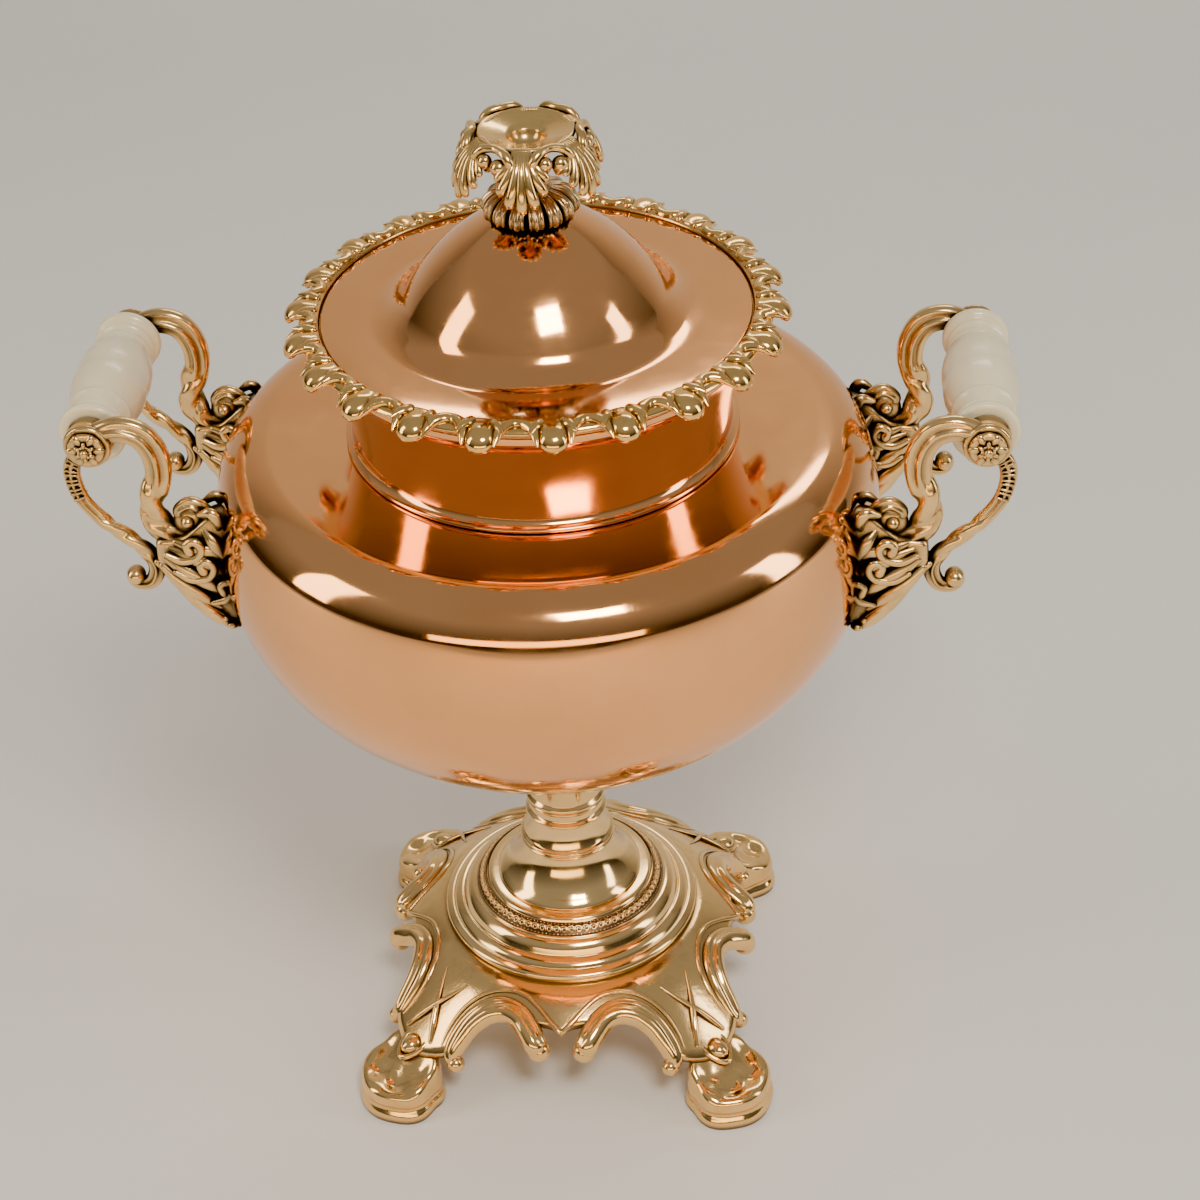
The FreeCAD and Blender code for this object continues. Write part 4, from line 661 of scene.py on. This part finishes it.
# Corner leaf: two veins cross on the plinth behind a raised cabochon in a ring
corner_parts = []
for side in (-1, 1):
    vein = [(72, side * -8.0), (79, side * -4.2), (86, side * 0.4), (92, side * 4.6), (97, side * 8.2)]
    corner_parts.append(tube([on_dome(x, y, h) for (x, y), h in zip(vein, (0.2, 0.6, 1.4, 1.2, 0.0))],
                             [0.3, 0.9, 1.4, 1.6, 1.2], flat=0.8, sides=10, count=26))
ring_path = []
for t in np.linspace(0, TAU, 17):
    half_width = 5.6 * math.sin(t) * (1 - 0.28 * math.cos(t))
    ring_path.append((101.6 + 7.4 * math.cos(t), half_width, 27.6 - 3.2 * math.cos(t)))
corner_parts.append(tube(ring_path, 1.35, up=(0.4, 0, 0.9), sides=12, count=56))
corner_parts.append(ball((101.4, 0, 27.4), 1.0, (6.4, 4.8, 4.4), 12, 24))
plinth_parts += around(corner_parts, 4, 45)
piece("plinth_casting", plinth_parts, cast_gold, "urn", "plinth")

# Paw feet: a rounded block with toes, dimples and a rolled sole
PAW_CENTRE = 110.5
PAW_LONG, PAW_WIDE = 17.5, 19.0
TOE_DEPTH = 0.060
# Place along and across the paw, depth and size
DIMPLES = [(106.5, -10.6, 3.4, 6.8), (106.5, 10.6, 3.4, 6.8), (117.0, -5.6, 2.4, 5.2), (117.0, 5.6, 2.4, 5.2)]


def foot_skin():
    """The paw in its own frame: X runs out along the diagonal."""
    rows, columns = 44, 108
    verts = []
    for i in range(rows + 1):
        t = i / rows
        rise = math.sin(t * math.pi / 2) ** 0.85
        shrink = max(0.012, 1 - t ** 4.6) ** (1 / 2.5)
        for j in range(columns):
            a = TAU * j / columns
            square = (abs(math.cos(a)) ** 2.8 + abs(math.sin(a)) ** 2.8) ** (-1 / 2.8)
            off = abs(math.degrees((a + math.pi) % TAU - math.pi))
            front = 1 if off < 100 else max(0.0, 1 - (off - 100) / 20)
            toes = 1 + TOE_DEPTH * math.cos(math.radians(4.5 * off)) * front
            x = PAW_CENTRE + PAW_LONG * shrink * square * toes * math.cos(a)
            y = PAW_WIDE * shrink * square * toes * math.sin(a)
            top = 17.5 + 10.5 * min(1.0, max(0.0, (119 - x) / 20)) ** 1.2
            level = rise * top
            sole_roll = 0.05 * math.exp(-((level - 3.0) / 2.8) ** 2)
            sole_groove = 0.06 * math.exp(-((level - 8.0) / 2.2) ** 2)
            swell = 1 + sole_roll - sole_groove
            verts.append((PAW_CENTRE + (x - PAW_CENTRE) * swell, y * swell, level))
    verts = np.array(verts)
    for cx, cy, depth, size in DIMPLES:
        away = np.hypot(verts[:, 0] - cx, verts[:, 1] - cy)
        verts[:, 2] -= np.where(verts[:, 2] > 9, depth * np.exp(-(away / size) ** 2.0), 0)
    faces = grid_faces(rows + 1, columns)
    faces += [tuple(range(columns - 1, -1, -1)), tuple(len(verts) - columns + k for k in range(columns))]
    return verts, faces


paw = foot_skin()
FEET = ("rear_right", "rear_left", "front_left", "front_right")
for quarter, where in enumerate(FEET):
    piece("paw_" + where, moved(paw, turn_z(45 + 90 * quarter)), cast_gold, "urn",
          "foot_" + where)

# Handle brackets, drawn in the plane Y 0 about the boss and then set at their places
BOSS_X, BOSS_Z, BRACKET_Y = 184.0, 347.0, 44.6
UPPER = [(-4, 4.0), (-13, 6.2), (-21.5, 3.4), (-26.5, -5.0), (-27.0, -16.0), (-23.0, -27.0), (-22.5, -36.0),
         (-26.5, -44.0), (-34.0, -48.5), (-42.0, -45.5), (-44.5, -37.0), (-39.0, -31.0), (-33.5, -34.0),
         (-34.5, -38.5)]
LOWER = [(4.0, -4.0), (8.6, -11.0), (9.3, -19.0), (6.5, -29.0), (-1.5, -40.0), (-10.5, -48.0), (-17.5, -55.5),
         (-20.0, -63.0), (-17.0, -70.0), (-11.0, -71.2), (-8.4, -67.4), (-10.8, -64.6)]


def from_boss(pairs, y=0.0):
    """Points (x, z) about the boss as places in the frame."""
    return [(BOSS_X + x, y, BOSS_Z + z) for x, z in pairs]


def channelled(angle, share):
    """A deep groove along each flank of an arm, fading at its ends."""
    fade = min(1.0, 8 * share, 8 * (1 - share))
    degrees = math.degrees(angle)
    cut = sum(math.exp(-((degrees - at + 180) % 360 - 180) ** 2 / 300) for at in (62, 118, 242, 298))
    return 1 - 0.44 * fade * min(1.0, cut)


def swathed(first, last, ribs, pitch, depth):
    """A section whose leaf ribs wind round the arm between two shares of its length."""
    def section(angle, share):
        inside = max(0.0, min(1.0, (share - first) * 14, (last - share) * 14))
        rib = 0.5 + 0.5 * math.sin(ribs * angle + pitch * share)
        return channelled(angle, share) * (1 - inside) + inside * (1 + 0.4 * depth - depth * rib ** 2)
    return section


def spine_at(pairs, share):
    """Point and direction on an arm, as (x, z) about the boss."""
    rows = spline(pairs, 101)
    i = min(99, max(1, int(share * 100)))
    way = rows[i + 1] - rows[i - 1]
    return rows[i], way / np.hypot(*way)


bracket = []
upper_size = [5.2, 5.8, 6.0, 5.9, 5.6, 5.3, 5.6, 5.8, 5.4, 4.8, 4.4, 3.8, 3.0, 2.4]
bracket.append(tube(from_boss(UPPER), upper_size, up=(0, 1, 0), flat=0.86, sides=36, count=150,
                    section=swathed(0.34, 0.63, 2, 44, 0.34)))
bracket.append(ball((BOSS_X - 37.0, 0, BOSS_Z - 38.0), 3.6, (1, 1.7, 1), 12, 18))
bracket.append(ball((BOSS_X - 37.6, 0, BOSS_Z - 39.2), 1.0, (7.4, 3.6, 7.4), 12, 24))
lower_size = [3.0, 3.6, 3.5, 3.2, 3.1, 3.2, 3.4, 3.6, 3.4, 2.9, 2.4, 2.0]
bracket.append(tube(from_boss(LOWER), lower_size, up=(0, 1, 0), flat=0.95, sides=30, count=120,
                    section=swathed(0.36, 0.74, 2, 46, 0.24)))
bracket.append(ball((BOSS_X - 10.4, 0, BOSS_Z - 67.0), 4.2, (1, 1.15, 1), 12, 18))
for share in np.linspace(0.06, 0.26, 9):
    spot, way = spine_at(LOWER, share)
    across = np.array([-way[1], way[0]])
    for y in (-2.6, 2.6):
        bracket.append(tube([(BOSS_X + spot[0] + across[0] * k, y, BOSS_Z + spot[1] + across[1] * k)
                             for k in (-2.4, 0, 2.4)], [0.4, 0.75, 0.4], up=(0, 1, 0), sides=8, count=6))


# The leaf pad: fronds fan out from under the volute and lie down the bowl
FRONDS = [
    ([(-28, -50), (-37, -53), (-45, -57), (-51, -64)], 3.4),
    ([(-26, -55), (-34, -60), (-42, -66), (-49, -73)], 3.4),
    ([(-24, -59), (-31, -66), (-38.5, -73), (-46, -80)], 3.3),
    ([(-27, -62), (-33, -70), (-40, -79), (-48, -86)], 3.0),
    ([(-33, -70), (-38, -77), (-44, -84), (-50, -90.5)], 2.6),
    ([(-31, -47), (-39, -49), (-46, -50), (-52, -55)], 3.0),
    ([(-44, -41), (-47, -45), (-50, -50), (-54, -58)], 3.0),
    ([(-43, -33), (-48, -31), (-51, -35), (-50, -40)], 2.6),
]
PAD = [(-22.0, -46.0), (-34.0, -45.0), (-47.0, -33.0), (-58.0, -33.0), (-58.0, -88.0), (-51.5, -89.0),
       (-44.0, -79.5), (-33.0, -68.0), (-21.5, -58.5)]


def plate(outline, half):
    """A flat outline (x, z) about the boss as a plate of that half thickness, with softened edges."""
    ring = np.array(eased(outline, 3.0, sharp=10))
    middle = ring.mean(axis=0)
    rows = []
    for y, shrink in ((-half, 0.90), (-half * 0.86, 0.965), (-half * 0.5, 1.0), (half * 0.5, 1.0),
                      (half * 0.86, 0.965), (half, 0.90)):
        at = middle + (ring - middle) * shrink
        rows.append(np.column_stack([BOSS_X + at[:, 0], np.full(len(at), y), BOSS_Z + at[:, 1]]))
    count = len(ring)
    faces = grid_faces(len(rows), count)
    faces += [tuple(range(count - 1, -1, -1)), tuple(range(5 * count, 6 * count))]
    return np.vstack(rows), faces


bracket.append(plate(PAD, 5.6))
for side in (-1, 1):
    for path, size in FRONDS:
        points = [(BOSS_X + x, side * (5.0 + 2.0 * math.sin(math.pi * i / 3)), BOSS_Z + z)
                  for i, (x, z) in enumerate(path)]
        bracket.append(tube(points, [size * 0.55, size, size, size * 0.5], up=(0, 1, 0), flat=0.75, sides=12,
                            count=18))
for path, size in FRONDS[:5]:
    points = [(BOSS_X + x - 1.6, 0, BOSS_Z + z - 2.0) for x, z in path]
    bracket.append(tube(points, [size * 0.9, size * 1.25, size * 1.2, size * 0.7], up=(0, 1, 0), flat=1.3,
                        sides=12, count=16))
fan = [(-22.5, -58.0), (-31.0, -67.0), (-39.0, -76.0), (-46.5, -85.0), (-51.0, -90.0)]
for y in (-3.6, 0, 3.6):
    rib_path = [(BOSS_X + x + abs(y) * 0.25, y * (1 + 0.12 * i), BOSS_Z + z) for i, (x, z) in enumerate(fan)]
    bracket.append(tube(rib_path, [1.6, 2.2, 2.4, 2.2, 1.2], up=(0, 1, 0), sides=10, count=24))
# Curled leaf ends, and a row of small leaves along the lower edge of the pad
CURLS = [
    ([(-27, -51), (-33, -54), (-39, -53), (-42.5, -48.6), (-40, -44.6), (-36.4, -46.0), (-37.2, -49.2)],
     2.0),
    ([(-30, -60), (-36, -63.5), (-43, -63), (-46.6, -58.4), (-44.2, -54.6), (-41.0, -56.2), (-42.0, -59.2)],
     2.0),
    ([(-44, -76), (-50, -74), (-53.5, -69), (-51.5, -65.4), (-48.4, -67.0), (-49.4, -70.2)], 1.8),
]
for side in (-1, 1):
    for path, size in CURLS:
        points = [(BOSS_X + x, side * 8.2, BOSS_Z + z) for x, z in path]
        curl_size = [size * 0.6] + [size] * (len(path) - 2) + [size * 1.25]
        bracket.append(tube(points, curl_size, up=(0, 1, 0), flat=0.9, sides=12, count=34))
    for i in range(9):
        t = i / 8
        spot = (BOSS_X - 24.5 - 26.0 * t, side * (2.6 + 3.4 * t), BOSS_Z - 62.0 - 27.0 * t)
        bracket.append(ball(spot, 2.2, (1.1, 1.0, 0.8)))
collar = lathe(eased([(3.3, -5), (9.4, -5), (10.2, -3.4), (9.2, -1.4), (9.2, 1.4), (10.2, 3.4), (9.4, 5),
                      (3.3, 5)], 0.7), 48)
lay_along_y = [[1, 0, 0], [0, 0, -1], [0, 1, 0]]
bracket.append(moved(collar, lay_along_y, (BOSS_X, 0, BOSS_Z)))

BRACKETS = {"front_right": (False, False), "front_left": (True, False),
            "rear_right": (False, True), "rear_left": (True, True)}
for where, (over_x, over_y) in BRACKETS.items():
    shapes = []
    for shape in bracket:
        shape = moved(shape, offset=(0, -BRACKET_Y, 0))
        shape = flipped(shape, 0) if over_x else shape
        shapes.append(flipped(shape, 1) if over_y else shape)
    piece("scroll_bracket_" + where, shapes, old_brass, "urn", "bracket_" + where)

# Turned grips and their rosettes
GRIP_HALF, GRIP_BORE = 39.6, 3.3
GRIP_END = [(12.2, 0), (13.8, 0.9, 1.6, 1), (14.1, 2.8, 1.8, 1), (13.2, 4.6, 1.8, 1), (11.6, 5.6),
            (11.3, 6.6), (12.2, 7.6), (12.0, 9.2, 1.1, 1), (11.0, 10.2), (10.8, 11.6, 2.2, -1),
            (12.2, 14.6), (13.0, 15.6), (13.2, 17.0, 1.2, 1), (12.9, 18.2)]
low_end = [(r, -GRIP_HALF + z) for r, z in route(GRIP_END, 14)]
grip_outline = [(GRIP_BORE, -GRIP_HALF)] + low_end + [(15.6, 0.0, 44, 1)]
grip_outline = route(grip_outline, 4)
grip_outline += [(r, -z) for r, z in grip_outline[::-1][1:]]
grip_shape = moved(lathe(eased(grip_outline, 0.4, sharp=30), 96), lay_along_y)
for side, sign in (("left", -1), ("right", 1)):
    piece("turned_grip_" + side, moved(grip_shape, offset=(sign * BOSS_X, 0, BOSS_Z)), cream, "urn",
          "grip_" + side)

ROSETTE_PETALS = 6
rosette = around([ball((4.9, 0, 1.5), 1.0, (3.3, 1.9, 1.6))], ROSETTE_PETALS)
rosette += around([ball((2.9, 0, 3.0), 1.0, (1.9, 1.0, 1.3))], ROSETTE_PETALS, 180 / ROSETTE_PETALS)
rosette.append(ball((0, 0, 4.0), 1.9))
rosette.append(lathe(eased([(0, 0), (6.6, 0), (7.8, 0.6), (7.4, 1.8), (6, 2.2), (0, 2.2)], 0.4), 48))
nuts = []
for sx in (-1, 1):
    for sy in (-1, 1):
        stand = [[1, 0, 0], [0, 0, sy], [0, -sy, 0]]
        nuts += [moved(shape, stand, (sx * BOSS_X, sy * (BRACKET_Y + 5.0), BOSS_Z)) for shape in rosette]
piece("rosettes", nuts, old_brass, "urn", "rosette_nuts")

# Pieces that keep their CAD shape take only a finish
FINISHES = {bronze: ["tap_body", "tap_flange", "tap_plug", "tap_key_cap", "tap_plug_nut", "tap_plug_washer",
                     "tap_back_nut", "tap_saddle_washer", "finial_stud", "finial_nut", "finial_washer",
                     "tie_rod", "tie_rod_nut", "tie_rod_head_nut", "tie_rod_washer", "grip_rod_left",
                     "grip_rod_right", "foot_screws"],
            cream: ["tap_key_handle"], copper: ["lid_locating_ring"], iron: ["heater_slug"],
            tinned: ["heater_sleeve", "sleeve_cap", "sleeve_seat"]}
for material, names in FINISHES.items():
    for name in names:
        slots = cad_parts[name].material_slots
        if not slots:
            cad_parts[name].data.materials.append(material)
        for entry in slots:
            entry.link = "OBJECT"
            entry.material = material

# Floor, light and camera
floor_material, tree, shader = new_material("floor", (0.78, 0.77, 0.75), 0.0, 0.75)
tree.links.new(blend_colours(tree, ramp(tree, noise(tree, 2.2, 4, 0.6), 0, 0.5), (0.82, 0.81, 0.79),
                             (0.75, 0.75, 0.75)), shader.inputs["Base Color"])
# The floor in metres: flat, then a round sweep up behind the urn
FLOOR_HALF, SWEEP_START, SWEEP_RADIUS = 3.2, 1.1, 0.8
sweep_rows = [(-2.2, 0.0), (SWEEP_START, 0.0)]
for t in np.linspace(0.1, math.pi / 2, 14):
    sweep_rows.append((SWEEP_START + SWEEP_RADIUS * math.sin(t), SWEEP_RADIUS - SWEEP_RADIUS * math.cos(t)))
sweep_rows.append((1.9, 2.6))
floor_mesh = bpy.data.meshes.new("floor")
floor_verts = [(x, y, z) for y, z in sweep_rows for x in (-FLOOR_HALF, FLOOR_HALF)]
floor_mesh.from_pydata(floor_verts, [], [(2 * i, 2 * i + 1, 2 * i + 3, 2 * i + 2)
                                         for i in range(len(sweep_rows) - 1)])
floor_mesh.materials.append(floor_material)
floor_mesh.shade_smooth()
floor = bpy.data.objects.new("floor", floor_mesh)
bpy.context.scene.collection.objects.link(floor)


def area_light(name, at, aim, size, power, colour):
    """A rectangular lamp at a place in metres, turned to its aim."""
    data = bpy.data.lights.new(name, "AREA")
    data.shape = "RECTANGLE"
    data.size, data.size_y = size
    data.energy = power
    data.color = colour
    obj = bpy.data.objects.new(name, data)
    obj.location = at
    obj.rotation_euler = (Vector(aim) - Vector(at)).to_track_quat("-Z", "Y").to_euler()
    bpy.context.scene.collection.objects.link(obj)


area_light("key", (0.45, -1.2, 1.9), (0, 0, 0.25), (0.60, 0.45), 46, (1.0, 0.92, 0.80))
area_light("left_box", (-1.9, -0.5, 1.1), (0, 0, 0.25), (0.55, 1.5), 26, (1.0, 0.86, 0.66))
area_light("right_box", (1.9, -0.2, 0.9), (0, 0, 0.25), (0.40, 1.3), 17, (1.0, 0.95, 0.88))
area_light("back_box", (0.2, 1.9, 1.8), (0, 0, 0.3), (1.4, 0.5), 24, (1.0, 0.95, 0.88))
area_light("warm_card", (0.0, -1.7, 0.42), (0, 0, 0.28), (2.2, 0.30), 15, (1.0, 0.70, 0.34))

world = bpy.context.scene.world or bpy.data.worlds.new("world")
bpy.context.scene.world = world
world.use_nodes = True
background = world.node_tree.nodes["Background"]
sky = node(world.node_tree, "ShaderNodeTexCoord")
parts_of_sky = node(world.node_tree, "ShaderNodeSeparateXYZ")
world.node_tree.links.new(sky.outputs["Generated"], parts_of_sky.inputs[0])
height = ramp(world.node_tree, parts_of_sky.outputs["Z"], 0.0, 1.0, 0.02, 0.62)
world.node_tree.links.new(blend_colours(world.node_tree, height, (0.11, 0.095, 0.08), (0.90, 0.87, 0.82)),
                          background.inputs["Color"])
background.inputs["Strength"].default_value = 0.65

AZIMUTH, ELEVATION, ROLL = math.radians(4.9), math.radians(35.9), math.radians(-2.7)
DISTANCE, TARGET_HEIGHT, SHIFT, LENS = 1.17468, 0.23355, 0.02061, 78.85
back = Vector((math.sin(AZIMUTH) * math.cos(ELEVATION), -math.cos(AZIMUTH) * math.cos(ELEVATION),
               math.sin(ELEVATION)))
level = Vector((math.cos(AZIMUTH), math.sin(AZIMUTH), 0))
upright = (-back).cross(level) * -1
right = math.cos(ROLL) * level + math.sin(ROLL) * upright
camera_up = -math.sin(ROLL) * level + math.cos(ROLL) * upright
camera_data = bpy.data.cameras.new("camera")
camera_data.sensor_width = 36
camera_data.lens = LENS
camera = bpy.data.objects.new("camera", camera_data)
camera.matrix_world = Matrix.Translation(Vector((0, 0, TARGET_HEIGHT)) + back * DISTANCE + level * SHIFT) \
    @ Matrix((right, camera_up, back)).transposed().to_4x4()
bpy.context.scene.collection.objects.link(camera)
bpy.context.scene.camera = camera
bpy.context.scene.view_settings.view_transform = "AgX"
bpy.context.scene.view_settings.look = "AgX - Punchy"
